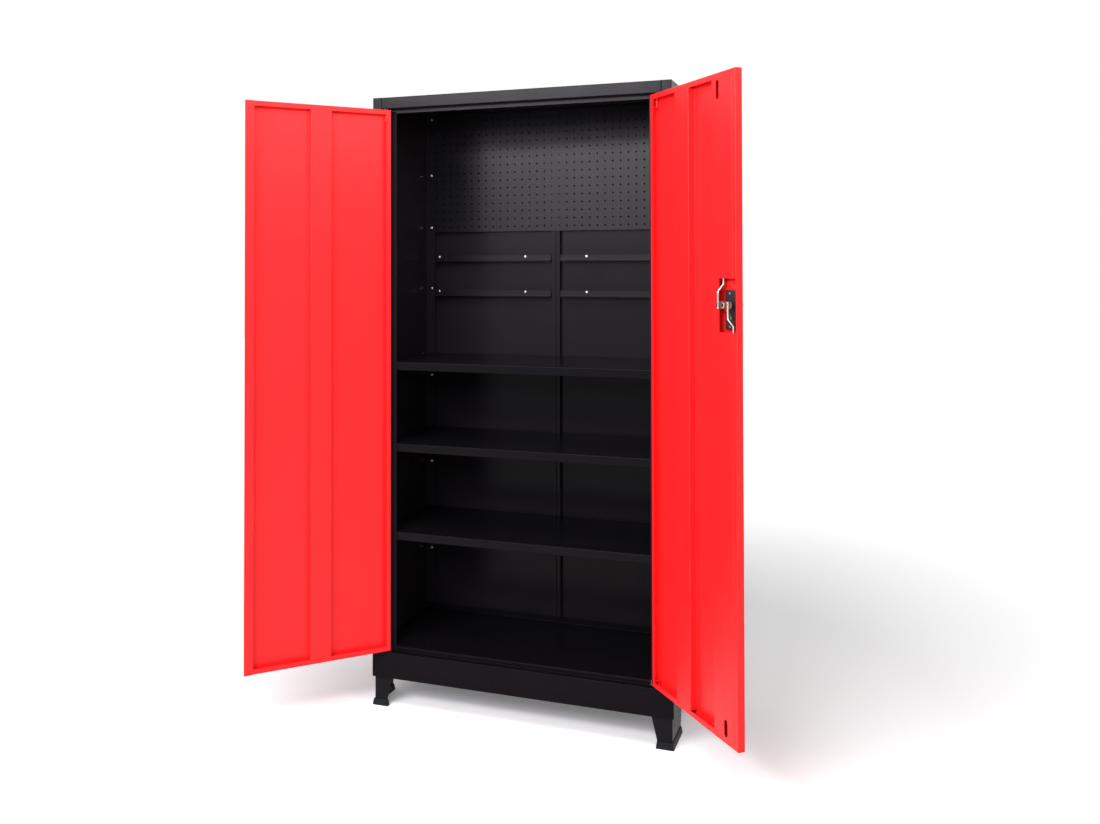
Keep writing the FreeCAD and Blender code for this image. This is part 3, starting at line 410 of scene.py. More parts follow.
def turned(profile: Sequence[Point], count: int = 20) -> Shape:
    """Spin a profile about Z.

    Args:
        profile: Radius and height of each point, from one end to the other.
        count: Points round each ring.

    Returns:
        A closed shell.
    """
    shape = bmesh.new()
    rings = []
    for radius, height in profile:
        if radius == 0.0:
            rings.append([shape.verts.new((0.0, 0.0, height))])
        else:
            rings.append([shape.verts.new((*place, height)) for place in ring((0, 0), radius, count)])
    for near, far in zip(rings, rings[1:]):
        for number in range(count):
            after = (number + 1) % count
            corners = []
            for row, index in ((near, number), (near, after), (far, after), (far, number)):
                corner = row[index % len(row)]
                if corner not in corners:
                    corners.append(corner)
            shape.faces.new(corners)
    for row in (rings[0], rings[-1]):
        if len(row) > 1:
            shape.faces.new(row)
    return skin(shape)


def bar(route: Sequence[Sequence[float]], radius: float, bend: float,
        count: int = 16, steps: int = 6) -> Shape:
    """Bend a round bar along a route that lies in one plane.

    Args:
        route: Corners of the bar's middle line.
        radius: Radius of the bar.
        bend: Radius of the middle line at each corner.
        count: Points round the bar.
        steps: Steps round each bend.

    Returns:
        A closed shell.
    """
    places = [Vector(corner) for corner in route]
    stations = [(places[0], (places[1] - places[0]).normalized())]
    for before, corner, after in zip(places, places[1:], places[2:]):
        into = (corner - before).normalized()
        out = (after - corner).normalized()
        turn = into.angle(out)
        normal = into.cross(out).normalized()
        toward = normal.cross(into)
        centre = corner - into * bend * math.tan(turn / 2) + toward * bend
        for step in range(steps + 1):
            spin = Matrix.Rotation(turn * step / steps, 3, normal)
            stations.append((centre + spin @ (-toward * bend), spin @ into))
    stations.append((places[-1], (places[-1] - places[-2]).normalized()))
    rows = []
    side = stations[0][1].orthogonal().normalized()
    for place, way in stations:
        side = (side - way * side.dot(way)).normalized()
        other = way.cross(side)
        rows.append([place + side * across + other * up
                     for across, up in ring((0, 0), radius, count)])
    return skinned(rows)


def together(*shapes: Shape) -> Shape:
    """Gather several shells into one shape.

    Args:
        *shapes: The shells, which are used up.

    Returns:
        The one shape.
    """
    whole = bmesh.new()
    for shape in shapes:
        mesh = bpy.data.meshes.new("part")
        shape.to_mesh(mesh)
        whole.from_mesh(mesh)
        bpy.data.meshes.remove(mesh)
        shape.free()
    return whole


def moved(shape: Shape, place: Matrix) -> Shape:
    """Move a shape by a matrix and give it back."""
    bmesh.ops.transform(shape, matrix=place, verts=shape.verts)
    return shape


def copies(shape: Shape, places: Iterable[Matrix]) -> Shape:
    """Gather a copy of a shape at each place."""
    return together(*[moved(shape.copy(), place) for place in places])


def cut(shape: Shape, *cutters: Shape) -> Shape:
    """Cut shapes away from a shape.

    Args:
        shape: The shape to cut, which is used up.
        *cutters: The shapes to cut away, which are used up too.

    Returns:
        What is left.
    """
    piece = as_object("cut_piece", shape)
    tools = [as_object("cut_tool", cutter) for cutter in cutters]
    for tool in tools:
        modifier = piece.modifiers.new("cut", "BOOLEAN")
        modifier.operation = "DIFFERENCE"
        modifier.solver = "EXACT"
        modifier.object = tool
    graph = bpy.context.evaluated_depsgraph_get()
    result = bmesh.new()
    result.from_object(piece, graph)
    for item in [piece, *tools]:
        mesh = item.data
        bpy.data.objects.remove(item)
        bpy.data.meshes.remove(mesh)
    bmesh.ops.dissolve_degenerate(result, edges=result.edges, dist=SLIVER)
    return result


def as_object(name: str, shape: Shape) -> bpy.types.Object:
    """Make an object of a shape.

    Args:
        name: The object's name.
        shape: Its shape, which is used up.

    Returns:
        The object, linked to the scene.
    """
    mesh = bpy.data.meshes.new(name)
    shape.to_mesh(mesh)
    shape.free()
    item = bpy.data.objects.new(name, mesh)
    bpy.context.scene.collection.objects.link(item)
    return item


# ---------------------------------------------------------------- finishes


@dataclass(frozen=True)
class Grain:
    """Noise over a surface: its waves per metre and its layers of finer noise."""

    scale: float
    detail: float = 2.0


@dataclass
class Web:
    """A node tree with short ways to add and join nodes."""

    tree: bpy.types.NodeTree

    def add(self, kind: str, **settings: object) -> bpy.types.Node:
        """Add a node.

        Args:
            kind: The node's type without its ShaderNode prefix.
            **settings: The node's properties, then values or other nodes' outputs for its inputs,
                whose names are written with underscores for spaces.

        Returns:
            The node.
        """
        node = self.tree.nodes.new("ShaderNode" + kind)
        for name, value in settings.items():
            if hasattr(node, name):
                setattr(node, name, value)
            else:
                self.feed(node.inputs[name.replace("_", " ")], value)
        return node

    def feed(self, socket: Socket, value: object) -> None:
        """Give an input its value.

        Args:
            socket: The input.
            value: Another node's output, which is linked to it, or a value of its own.
        """
        if isinstance(value, Socket):
            self.tree.links.new(value, socket)
        else:
            socket.default_value = value

    def noise(self, grain: Grain) -> Socket:
        """Lay noise over the object and give its output."""
        where = self.add("TexCoord").outputs["Object"]
        return self.add("TexNoise", Vector=where, Scale=grain.scale,
                        Detail=grain.detail).outputs["Fac"]

    def span(self, value: Socket, low: float, high: float, start: float = 0.0,
             end: float = 1.0) -> Socket:
        """Map a range of values to another range.

        Args:
            value: The value to map.
            low: The result at the range's start.
            high: The result at the range's end.
            start: Where the range starts.
            end: Where the range ends.

        Returns:
            The mapped value.
        """
        return self.add("MapRange", Value=value, From_Min=start, From_Max=end, To_Min=low,
                        To_Max=high).outputs["Result"]

    def spread(self, grain: Grain, low: float, high: float) -> Socket:
        """A value that varies over the object between two limits."""
        return self.span(self.noise(grain), low, high, NOISE_START, NOISE_END)

    def tint(self, grain: Grain, low: Tone, high: Tone) -> Socket:
        """A colour that varies over the object between two colours."""
        node = self.add("Mix", data_type="RGBA", Factor=self.spread(grain, 0.0, 1.0),
                        A=(*low, 1.0), B=(*high, 1.0))
        return node.outputs["Result"]

    def bump(self, grain: Grain, depth: float, over: Socket | None = None) -> Socket:
        """Bump the surface with noise.

        Args:
            grain: The noise.
            depth: Height of its waves in metres.
            over: Normals of a coarser bump under this one.

        Returns:
            The bumped normals.
        """
        node = self.add("Bump", Height=self.noise(grain), Distance=depth)
        if over is not None:
            self.feed(node.inputs["Normal"], over)
        return node.outputs["Normal"]

    def paired(self, kind: str, first: Socket, second: Socket, **settings: object) -> Socket:
        """Join two values.

        Args:
            kind: Type of the node that joins them.
            first: Value for its first input.
            second: Value for its second input.
            **settings: The node's properties.

        Returns:
            The joined value.
        """
        node = self.add(kind, **settings)
        self.feed(node.inputs[0], first)
        self.feed(node.inputs[1], second)
        return node.outputs[0]

    def plain_view(self) -> Socket:
        """Tell what is seen from what gives light.

        Returns:
            1 for rays of the camera, of reflections and through glass, and 0 for other light.
        """
        rays = self.add("LightPath").outputs
        total = rays["Is Camera Ray"]
        for name in ("Is Glossy Ray", "Is Transmission Ray"):
            total = self.paired("Math", total, rays[name], operation="MAXIMUM")
        return total


def shades(color: Tone, share: float) -> tuple[Tone, Tone]:
    """A darker and a lighter colour round the given one."""
    return (tuple(part * (1 - share) for part in color),
            tuple(min(1.0, part * (1 + share)) for part in color))


@dataclass(frozen=True)
class Finish:
    """What every finish has: a name, the record's material slot, its colour, gloss and grain.

    The colour varies by a share of itself, and the roughness between smooth and rough.
    """

    name: str
    slot: str
    color: Tone
    variation: float
    smooth: float
    rough: float
    shine: float
    patches: Grain
    gloss_patches: Grain
    grain: Grain
    grain_depth: float

    def material(self) -> bpy.types.Material:
        """Make the finish's material the first time it is asked for.

        Returns:
            The material that all pieces of this finish share.
        """
        found = bpy.data.materials.get(self.name)
        if found:
            return found
        made = bpy.data.materials.new(self.name)
        made.use_nodes = True
        self.dress(Web(made.node_tree), made.node_tree.nodes["Principled BSDF"].inputs)
        return made

    def dress(self, web: Web, shader: Inputs) -> None:
        """Set the shader up for this finish.

        Args:
            web: The material's node tree.
            shader: The inputs of its shader.
        """
        low, high = shades(self.color, self.variation)
        web.feed(shader["Base Color"], web.tint(self.patches, low, high))
        web.feed(shader["Roughness"], web.spread(self.gloss_patches, self.smooth, self.rough))
        web.feed(shader["Specular IOR Level"], self.shine)
        web.feed(shader["Normal"], web.bump(self.grain, self.grain_depth, self.under(web)))

    def under(self, web: Web) -> Socket | None:
        """Normals of the form under the grain, or None where it is flat."""
        return None


@dataclass(frozen=True)
class Paint(Finish):
    """Powder coat: even colour, fine orange peel and slow waves of the thin sheet under it.

    Its own values are those of the cabinet's black.
    """

    slot: str = "black_paint"
    color: Tone = (0.0085, 0.0076, 0.0096)
    variation: float = 0.06
    smooth: float = 0.21
    rough: float = 0.25
    shine: float = 0.065
    patches: Grain = Grain(5.0, 4.0)
    gloss_patches: Grain = Grain(14.0, 5.0)
    grain: Grain = Grain(420.0)
    grain_depth: float = 0.000006
    waves: Grain = Grain(3.2, 1.0)
    wave_depth: float = 0.0006

    def under(self, web: Web) -> Socket:
        """Normals of the sheet's slow waves."""
        return web.bump(self.waves, self.wave_depth)


@dataclass(frozen=True)
class Plated(Finish):
    """Zinc plated or bright drawn steel, with a faint tint and fine scratches."""

    slot: str = "zinc_plate"
    color: Tone = (0.62, 0.60, 0.55)
    variation: float = 0.1
    smooth: float = 0.18
    rough: float = 0.36
    shine: float = 0.5
    patches: Grain = Grain(60.0, 3.0)
    gloss_patches: Grain = Grain(240.0, 4.0)
    grain: Grain = Grain(1500.0)
    grain_depth: float = 0.000006

    def dress(self, web: Web, shader: Inputs) -> None:
        """Set the shader up as bare metal.

        Args:
            web: The material's node tree.
            shader: The inputs of its shader.
        """
        super().dress(web, shader)
        web.feed(shader["Metallic"], 1.0)


@dataclass(frozen=True)
class Moulded(Finish):
    """Moulded plastic with a fine grain."""

    slot: str = "black_plastic"
    color: Tone = (0.012, 0.012, 0.013)
    variation: float = 0.15
    smooth: float = 0.42
    rough: float = 0.58
    shine: float = 0.5
    patches: Grain = Grain(30.0, 3.0)
    gloss_patches: Grain = Grain(90.0, 3.0)
    grain: Grain = Grain(1800.0, 3.0)
    grain_depth: float = 0.00003


BLACK_PAINT = Paint("black_powder_coat")
# Painted light: a lighter copy of the black coat on the side walls and back panels, which lifts the
# dark inside of the cabinet as if more light reached it.
LIGHTENED_WALL_PAINT = Paint("black_wall_coat", color=(0.0125, 0.0110, 0.0140))
# Painted shade: a darker copy of the black coat on the shelves and the base tray, which darkens their
# front edges and the skirt.
SHADED_SHELF_PAINT = Paint("black_shelf_coat", color=(0.0050, 0.0045, 0.0058), shine=0.05)
PANEL_PAINT = Paint("black_panel_coat", color=(0.0082, 0.0074, 0.0094), smooth=0.25, rough=0.29,
                    shine=0.14, grain_depth=0.000005)
RAIL_PAINT = Paint("black_rail_coat", color=(0.0082, 0.0074, 0.0094), smooth=0.3, rough=0.34,
                   shine=0.12, grain_depth=0.000005)
RED_PAINT = Paint("red_powder_coat", "red_paint", color=(0.93, 0.017, 0.019), variation=0.02,
                  smooth=0.3, rough=0.4, shine=0.27, grain_depth=0.000012)
ZINC = Plated("zinc_plating")
BRIGHT_ROD = Plated("bright_drawn_rod", color=(0.66, 0.62, 0.57), smooth=0.12, rough=0.26)
DARK_ZINC = Plated("dark_passivated_plate", color=(0.30, 0.28, 0.24), smooth=0.24, rough=0.42)
BLACK_PLASTIC = Moulded("black_moulding")
SHOE_PLASTIC = Moulded("black_shoe_moulding", color=(0.010, 0.0115, 0.0125), shine=0.12)
BUSH_PLASTIC = Moulded("black_acetal", "bush_plastic", smooth=0.24, rough=0.32, grain_depth=0.00001)


# ---------------------------------------------------------------- pieces


def show(name: str, shape: Shape, finish: Finish, *nodes: str, body: Body = Body.CABINET) -> None:
    """Put a finished piece on its body in place of CAD nodes.

    Args:
        name: The piece's name.
        shape: Its shape in the row frame at rest.
        finish: What it is made of.
        *nodes: The CAD nodes it stands for.
        body: The body it moves with.
    """
    piece = as_object(name, shape)
    mesh = piece.data
    mesh.polygons.foreach_set("use_smooth", [True] * len(mesh.polygons))
    mesh.set_sharp_from_angle(angle=SHARP_ANGLE)
    weigh = piece.modifiers.new("shading", "WEIGHTED_NORMAL")
    weigh.keep_sharp = True
    mesh.materials.append(finish.material())
    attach(piece, body.value)
    if nodes:
        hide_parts(*nodes)
    log.info("%s: %d faces on %s", name, len(mesh.polygons), body.value)


def dress_node(node: str, finish: Finish) -> None:
    """Give a CAD node that stays in view its finish.

    Args:
        node: The node's name.
        finish: What it is made of.
    """
    item = frame["nodes"][node]
    item.data.materials.clear()
    item.data.materials.append(finish.material())
    log.info("%s: the CAD node itself", node)


def reach(node: str, place: Matrix = Matrix.Identity(4)) -> tuple[Vector, Vector]:
    """Measure a CAD node.

    Args:
        node: The node's name.
        place: The place that its corners are seen from.

    Returns:
        Its lowest and its highest corner.
    """
    back = place.inverted()
    corners = [back @ corner.co for corner in frame["nodes"][node].data.vertices]
    low = Vector([min(corner[axis] for corner in corners) for axis in range(3)])
    high = Vector([max(corner[axis] for corner in corners) for axis in range(3)])
    return low, high


def from_middle(low: float, high: float) -> list[float]:
    """Nearest and furthest distance from a middle plane of a piece that lies on one side of it."""
    return sorted((abs(low), abs(high)))


def mirrored(shape: Shape, axis: Axis = Axis.X) -> Shape:
    """Mirror a shape across one of the cabinet's middle planes.

    Args:
        shape: The shape, which is changed.
        axis: The axis that crosses the plane.

    Returns:
        The same shape.
    """
    moved(shape, Matrix.Scale(-1.0, 4, axis.place(0.0, 0.0, 1.0)))
    bmesh.ops.reverse_faces(shape, faces=shape.faces)
    return shape


def on_side(shape: Shape, side: Side) -> Shape:
    """Bring a shape that was drawn for the right hand side to a side."""
    return mirrored(shape) if side is Side.LEFT else shape


def facing(place: Sequence[float], out: Sequence[float]) -> Matrix:
    """Place that turns an upright piece's head to face a direction."""
    turn = Vector(out).to_track_quat("Z", "Y").to_matrix().to_4x4()
    return Matrix.Translation(place) @ turn


@dataclass(frozen=True)
class Screw:
    """Pan head screw with a cross recess, its head seated at Z 0 and its shank below.

    The dome's points are shares of the head's radius and height.
    """

    radius: float = 0.002
    head_radius: float = 0.004
    head_height: float = 0.0022
    length: float = 0.016
    tip_share: float = 0.6
    recess_width: float = 0.0009
    recess_reach: float = 0.0024
    recess_depth: float = 0.0013
    dome: tuple[Point, ...] = ((1.0, 0.45), (0.93, 0.75), (0.72, 0.94), (0.4, 1.0))

    def shape(self) -> Shape:
        """Build the screw upright.

        Returns:
            Its shape.
        """
        top = self.head_height
        foot = -self.length
        crown = [(self.head_radius * across, top * up) for across, up in self.dome]
        head = turned([(0.0, foot), (self.radius * self.tip_share, foot),
                       (self.radius, foot + self.radius / 2), (self.radius, 0.0),
                       (self.head_radius, 0.0), *crown, (0.0, top)])
        half = self.recess_width / 2
        arm = self.recess_reach
        low = top - self.recess_depth
        return cut(head, block((-arm, -half, low), (arm, half, top * 2)),
                   block((-half, -arm, low), (half, arm, top * 2)))


@dataclass(frozen=True)
class HexBolt:
    """Hexagon head with chamfered corners, seated at Z 0, and its shank below."""

    radius: float = 0.003
    apothem: float = 0.005
    height: float = 0.0035
    length: float = 0.006
    crown_share: float = 0.95
    edge_share: float = 0.8

    def shape(self) -> Shape:
        """Build the bolt upright.

        Returns:
            Its shape.
        """
        flats = ring((0, 0), self.apothem / HEX_FLAT_SHARE, HEX_SIDES)
        crown = ring((0, 0), self.apothem * self.crown_share, HEX_SIDES)
        head = stacked([flats, flats, crown], Axis.Z,
                       [0.0, self.height * self.edge_share, self.height])
        shank = turned([(0.0, -self.length), (self.radius, -self.length), (self.radius, 0.0),
                        (0.0, 0.0)])
        return together(head, shank)


# ---------------------------------------------------------------- cabinet


@dataclass
class Carcass:
    """Sides, back, cap and base tray of the cabinet."""

    sheet: Sheet = Sheet(bend=0.0012)
    post_width: float = 0.028
    post_depth: float = 0.0245
    stop_flange: float = 0.038
    rear_flange: float = 0.030
    pan_depth: float = 0.016
    mullion_lip: float = 0.013
    end_lip: float = 0.020
    joint: float = 0.00001
    ledge_depth: float = 0.0213
    cap_face: float = 0.034
    cap_lip: float = 0.012
    cap_seam: float = 0.0014
    floor_rise: float = 0.013
    upstand: float = 0.017
    apron_front: float = 0.030
    apron_rear: float = 0.020
    base_apron: float = 0.072
    cap_apron: float = 0.028
    clearance: float = 0.0003
    low: Vector = field(init=False)
    high: Vector = field(init=False)
    base: float = field(init=False)
    ledge: float = field(init=False)

    def __post_init__(self) -> None:
        """Read the carcass's outside from the frame."""
        self.low, self.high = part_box("side_panel_left")[0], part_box("top_cap")[1]
        self.base = self.low.z
        self.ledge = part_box("base_tray")[1].z - self.upstand - self.floor_rise

    @property
    def half(self) -> float:
        """Half of the cabinet's width."""
        return self.high.x

    @property
    def frame_back(self) -> float:
        """Y of the joint between the rear flanges and the back panels."""
        return self.high.y - self.pan_depth

    @property
    def stop(self) -> float:
        """Y of the face that the doors stop against."""
        return self.low.y + self.ledge_depth

    @property
    def wall_top(self) -> float:
        """Z of the side walls' top, under the cap."""
        return self.high.z - self.sheet.gauge

    def build(self) -> None:
        """Build and dress every sheet of the carcass."""
        for side in Side:
            self.side(side)
            self.back(side)
        self.cap()
        self.tray()

    def side(self, side: Side) -> None:
        """Fold a side wall with its front post, stop flange and rear flange.

        Args:
            side: The side that it stands on.
        """
        gauge = self.sheet.gauge
        inner = self.half - self.post_width
        flange = self.low.y + self.post_depth
        path = [(inner - self.stop_flange, flange), (inner, flange), (inner, self.low.y),
                (self.half, self.low.y), (self.half, self.frame_back),
                (self.half - self.rear_flange, self.frame_back)]
        wall = drawn(self.sheet.section(path, Metal.LEFT), Axis.Z, self.base, self.wall_top)
        outside = self.half * 2
        edge = self.low.y + gauge + self.sheet.bend
        front_cut = block((0.0, -outside, 0.0), (outside, edge, self.ledge))
        post_cut = block((0.0, -outside, 0.0), (self.half - gauge, flange + gauge * 2, self.ledge))
        # The side wall wears the lighter copy of the black coat, which is painted light.
        show(f"side_{side.word}", on_side(cut(wall, front_cut, post_cut), side), LIGHTENED_WALL_PAINT,
             f"side_panel_{side.word}")

    def back(self, side: Side) -> None:
        """Fold half of the back, a shallow tray with its open side to the front.

        Args:
            side: The side that it stands on.
        """
        edges = (self.joint, self.base, self.half, self.wall_top)
        lips = (self.mullion_lip, self.end_lip, self.rear_flange, self.end_lip)
        tray = pan(edges, self.high.y, self.frame_back, lips, Axis.Y, self.sheet)
        # The back wears the lighter copy of the black coat, which is painted light.
        show(f"back_{side.word}", on_side(tray, side), LIGHTENED_WALL_PAINT, f"back_panel_{side.word}")

    def cap(self) -> None:
        """Fold the top plate down into the front band, the ledge and the stop lip."""
        band = self.half - self.post_width - self.cap_seam
        face = self.high.z - self.cap_face
        path = [(self.high.y, self.high.z), (self.low.y, self.high.z), (self.low.y, face),
                (self.stop, face), (self.stop, face - self.cap_lip)]
        middle = drawn(self.sheet.section(path, Metal.LEFT), Axis.X, -band, band)
        ends = [block((left, self.low.y, self.wall_top), (right, self.high.y, self.high.z))
                for left, right in ((-self.half, -band), (band, self.half))]
        aprons = self.aprons(self.high.z - self.cap_apron, self.wall_top)
        show("cap", together(middle, *ends, *aprons), BLACK_PAINT, "top_cap")

    def aprons(self, low: float, high: float) -> list[Shape]:
        """Stand the flanges of the cap or the tray inside the side walls.

        Args:
            low: Z of their lower edges.
            high: Z of their upper edges.

        Returns:
            The left flange and the right one.
        """
        gauge = self.sheet.gauge
        front = self.low.y + self.apron_front
        rear = self.high.y - self.apron_rear
        found = []
        for side in Side:
            left, right = sorted(side.value * (self.half - gauge * share) for share in (1, 2))
            found.append(block((left, front, low), (right, rear, high)))
        return found

    def tray(self) -> None:
        """Fold the floor down into the riser, the ledge under the doors and the skirt."""
        gauge = self.sheet.gauge
        floor = self.ledge + self.floor_rise
        rear = self.frame_back - gauge * 2
        path = [(self.low.y, self.base), (self.low.y, self.ledge), (self.stop, self.ledge),
                (self.stop, floor), (rear, floor), (rear, floor + self.upstand)]
        wall = self.half - gauge
        sheet = drawn(self.sheet.section(path, Metal.RIGHT), Axis.X, -wall, wall)
        flange = self.low.y + self.post_depth + gauge + self.clearance
        inner = self.half - self.post_width - self.stop_flange - self.clearance
        notches = []
        for side in Side:
            left, right = sorted(side.value * edge for edge in (inner, self.half))
            notches.append(block((left, self.stop - gauge, self.ledge + gauge / 2),
                                 (right, flange, floor + gauge)))
        ends = [block((left, self.low.y, self.base), (right, self.low.y + gauge, self.ledge))
                for left, right in ((-self.half, -wall), (wall, self.half))]
        aprons = self.aprons(floor - self.base_apron, floor - gauge)
        # The tray wears the darker copy of the black coat, which is painted shade.
        show("base_tray_sheet", together(cut(sheet, *notches), *ends, *aprons), SHADED_SHELF_PAINT,
             "base_tray")


@dataclass
class ToolPanel:
    """Perforated panel over the upper part of the back."""

    pitch: float = 0.025
    columns: int = 34
    rows: int = 15
    hole_radius: float = 0.003
    top_drop: float = 0.023
    splits: int = 4

    def build(self) -> None:
        """Punch the panel's round holes on their grid."""
        low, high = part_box("pegboard")
        side = self.pitch * self.columns / 2
        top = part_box("top_cap")[1].z - self.top_drop + self.pitch / 2
        bottom = top - self.pitch * self.rows
        across = self.lines(low.x, -side, side, high.x, self.columns)
        upward = self.lines(low.z, bottom, top, high.z, self.rows)
        shape = bmesh.new()
        faces = [self.face(shape, across, upward, level) for level in (low.y, high.y)]
        for front, back in zip(*faces):
            strip(shape, front, back, closed=True)
        show("tool_panel", skin(shape), PANEL_PAINT, "pegboard")

    def lines(self, start: float, first: float, last: float, end: float, cells: int) -> list[float]:
        """Space the grid lines of one direction.

        Args:
            start: The panel's first edge.
            first: Where the cells of the holes start.
            last: Where they end.
            end: The panel's last edge.
            cells: How many cells there are.

        Returns:
            Places of the lines, with several in each cell.
        """
        count = cells * self.splits
        return [start, *(first + (last - first) * number / count for number in range(count + 1)),
                end]

    def face(self, shape: Shape, across: list[float], upward: list[float],
             level: float) -> list[Corners]:
        """Lay one face of the panel.

        Args:
            shape: The shape that takes the faces.
            across: Grid lines from left to right.
            upward: Grid lines from bottom to top.
            level: Y of the face.

        Returns:
            The rings that join this face to the other: one for each hole, then the outline.
        """
        grid = [[shape.verts.new((x, level, z)) for z in upward] for x in across]
        rings = [self.hole(shape, grid, 1 + column * self.splits, 1 + row * self.splits, level)
                 for column in range(self.columns) for row in range(self.rows)]
        last_x = len(across) - 2
        last_z = len(upward) - 2
        for x in range(last_x + 1):
            for z in range(last_z + 1):
                if x in (0, last_x) or z in (0, last_z):
                    shape.faces.new((grid[x][z], grid[x + 1][z], grid[x + 1][z + 1], grid[x][z + 1]))
        bottom_row = [column[0] for column in grid]
        top_row = [column[-1] for column in grid]
        rings.append(bottom_row + grid[-1][1:] + top_row[-2::-1] + grid[0][-2:0:-1])
        return rings

    def hole(self, shape: Shape, grid: list[Corners], first: int, bottom: int,
             level: float) -> Corners:
        """Lay one cell of the grid round its hole.

        Args:
            shape: The shape that takes the faces.
            grid: Corners of the face, by column and row.
            first: The cell's first column.
            bottom: The cell's lowest row.
            level: Y of the face.

        Returns:
            The hole's ring.
        """
        count = self.splits
        border = [grid[first + step][bottom] for step in range(count)]
        border += [grid[first + count][bottom + step] for step in range(count)]
        border += [grid[first + count - step][bottom + count] for step in range(count)]
        border += [grid[first][bottom + count - step] for step in range(count)]
        middle = (border[0].co + border[2 * count].co) / 2
        start = math.atan2(border[0].co.z - middle.z, border[0].co.x - middle.x)
        places = ring((middle.x, middle.z), self.hole_radius, count * 4, start)
        edge = [shape.verts.new((x, level, z)) for x, z in places]
        strip(shape, border, edge, closed=True)
        return edge


@dataclass
class Shelves:
    """Three shelves and the clips at their corners."""

    sheet: Sheet = Sheet(bend=0.0018)
    clip_sheet: Sheet = Sheet(gauge=0.0012, bend=0.0012)
    hem: float = 0.012
    clip_width: float = 0.024
    clip_reach: float = 0.018
    clip_inset: float = 0.050

    def build(self) -> None:
        """Fold the shelves and set the clips under them."""
        clips = []
        for word in ("lower", "middle", "upper"):
            low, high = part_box(f"shelf_{word}")
            shape = pan((low.x, low.y, high.x, high.y), high.z, low.z, (self.hem,) * 4, Axis.Z,
                        self.sheet)
            # The shelf wears the darker copy of the black coat, which is painted shade.
            show(f"shelf_{word}_sheet", shape, SHADED_SHELF_PAINT, f"shelf_{word}")
            clips += self.clips(low.z, high.z)
        show("shelf_clip_set", together(*clips), ZINC, "shelf_clips")

    def clips(self, low: float, high: float) -> list[Shape]:
        """Fold the four clips of one shelf.

        Args:
            low: Z of their feet, under the shelf.
            high: Z of their tops.

        Returns:
            The clips, in the four corners.
        """
        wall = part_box("shelf_clips")[1].x
        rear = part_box("top_cap")[1].y
        flat = wall - self.clip_sheet.gauge
        section = self.clip_sheet.section([(wall - self.clip_reach, low), (flat, low),
                                           (flat, high)], Metal.RIGHT)
        found = []
        for end in End:
            middle = end.value * (rear - self.clip_inset)
            for side in Side:
                clip = drawn(section, Axis.Y, middle - self.clip_width / 2,
                             middle + self.clip_width / 2)
                found.append(on_side(clip, side))
        return found


@dataclass
class ToolRails:
    """Two rows of tool rails with their screws and spacers, and the rear flanges' screws."""

    sheet: Sheet = Sheet(gauge=0.0012, bend=0.0026)
    screw: Screw = Screw()
    back_screw: Screw = Screw(length=0.0026)
    face_height: float = 0.019
    ledge: float = 0.010
    screw_far: float = 0.086
    screw_near: float = 0.0135
    screw_drop: float = 0.005
    spacer_radius: float = 0.0045
    bore: float = 0.0022
    back_drops: tuple[float, ...] = (0.015, 0.202, 0.374, 0.574, 0.860, 1.145, 1.430)
    back_inset: float = 0.019

    def build(self) -> None:
        """Fold the rails and set their fixings."""
        screws = []
        spacers = []
        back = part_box("rail_spacers")[1].y
        for level in ("upper", "lower"):
            for side in Side:
                node = f"tool_rail_{level}_{side.word}"
                low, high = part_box(node)
                self.rail(node, low, high)
                inner, outer = from_middle(low.x, high.x)
                up = high.z - self.screw_drop
                for across in (inner + self.screw_far, outer - self.screw_near):
                    middle = side.value * across
                    screws.append(facing((middle, high.y - self.sheet.gauge, up), TO_FRONT))
                    spacers.append(self.spacer((middle, up), high.y, back))
        show("rail_screw_set", copies(self.screw.shape(), screws), ZINC, "rail_screws")
        show("rail_spacer_set", together(*spacers), ZINC, "rail_spacers")
        self.back_screws()

    def rail(self, node: str, low: Vector, high: Vector) -> None:
        """Fold a face strip with a narrow ledge at its foot.

        Args:
            node: The rail's node.
            low: Its lowest corner.
            high: Its highest corner.
        """
        face = high.y - self.sheet.gauge
        foot = high.z - self.face_height
        path = [(face, high.z), (face, foot), (face - self.ledge, foot)]
        shape = drawn(self.sheet.section(path, Metal.LEFT), Axis.X, low.x, high.x)
        show(f"{node}_sheet", shape, RAIL_PAINT, node)

    def spacer(self, centre: Point, start: float, end: float) -> Shape:
        """Cut the tube between a rail and the back panel.

        Args:
            centre: X and Z of its middle line.
            start: Y of its front end.
            end: Y of its rear end.

        Returns:
            A closed shell.
        """
        pairs = list(zip(ring(centre, self.spacer_radius), ring(centre, self.bore)))
        return drawn(pairs + pairs[:1], Axis.Y, start, end)

    def back_screws(self) -> None:
        """Set the screws that hold the back panels and the tool panel to the rear flanges."""
        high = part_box("top_cap")[1]
        panel_low, panel_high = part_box("pegboard")
        across = high.x - self.back_inset
        places = []
        for drop in self.back_drops:
            up = high.z - drop
            seat = panel_low.y if up > panel_low.z else panel_high.y
            places += [facing((side.value * across, seat, up), TO_FRONT) for side in Side]
        show("back_screw_set", copies(self.back_screw.shape(), places), ZINC, "back_screws")


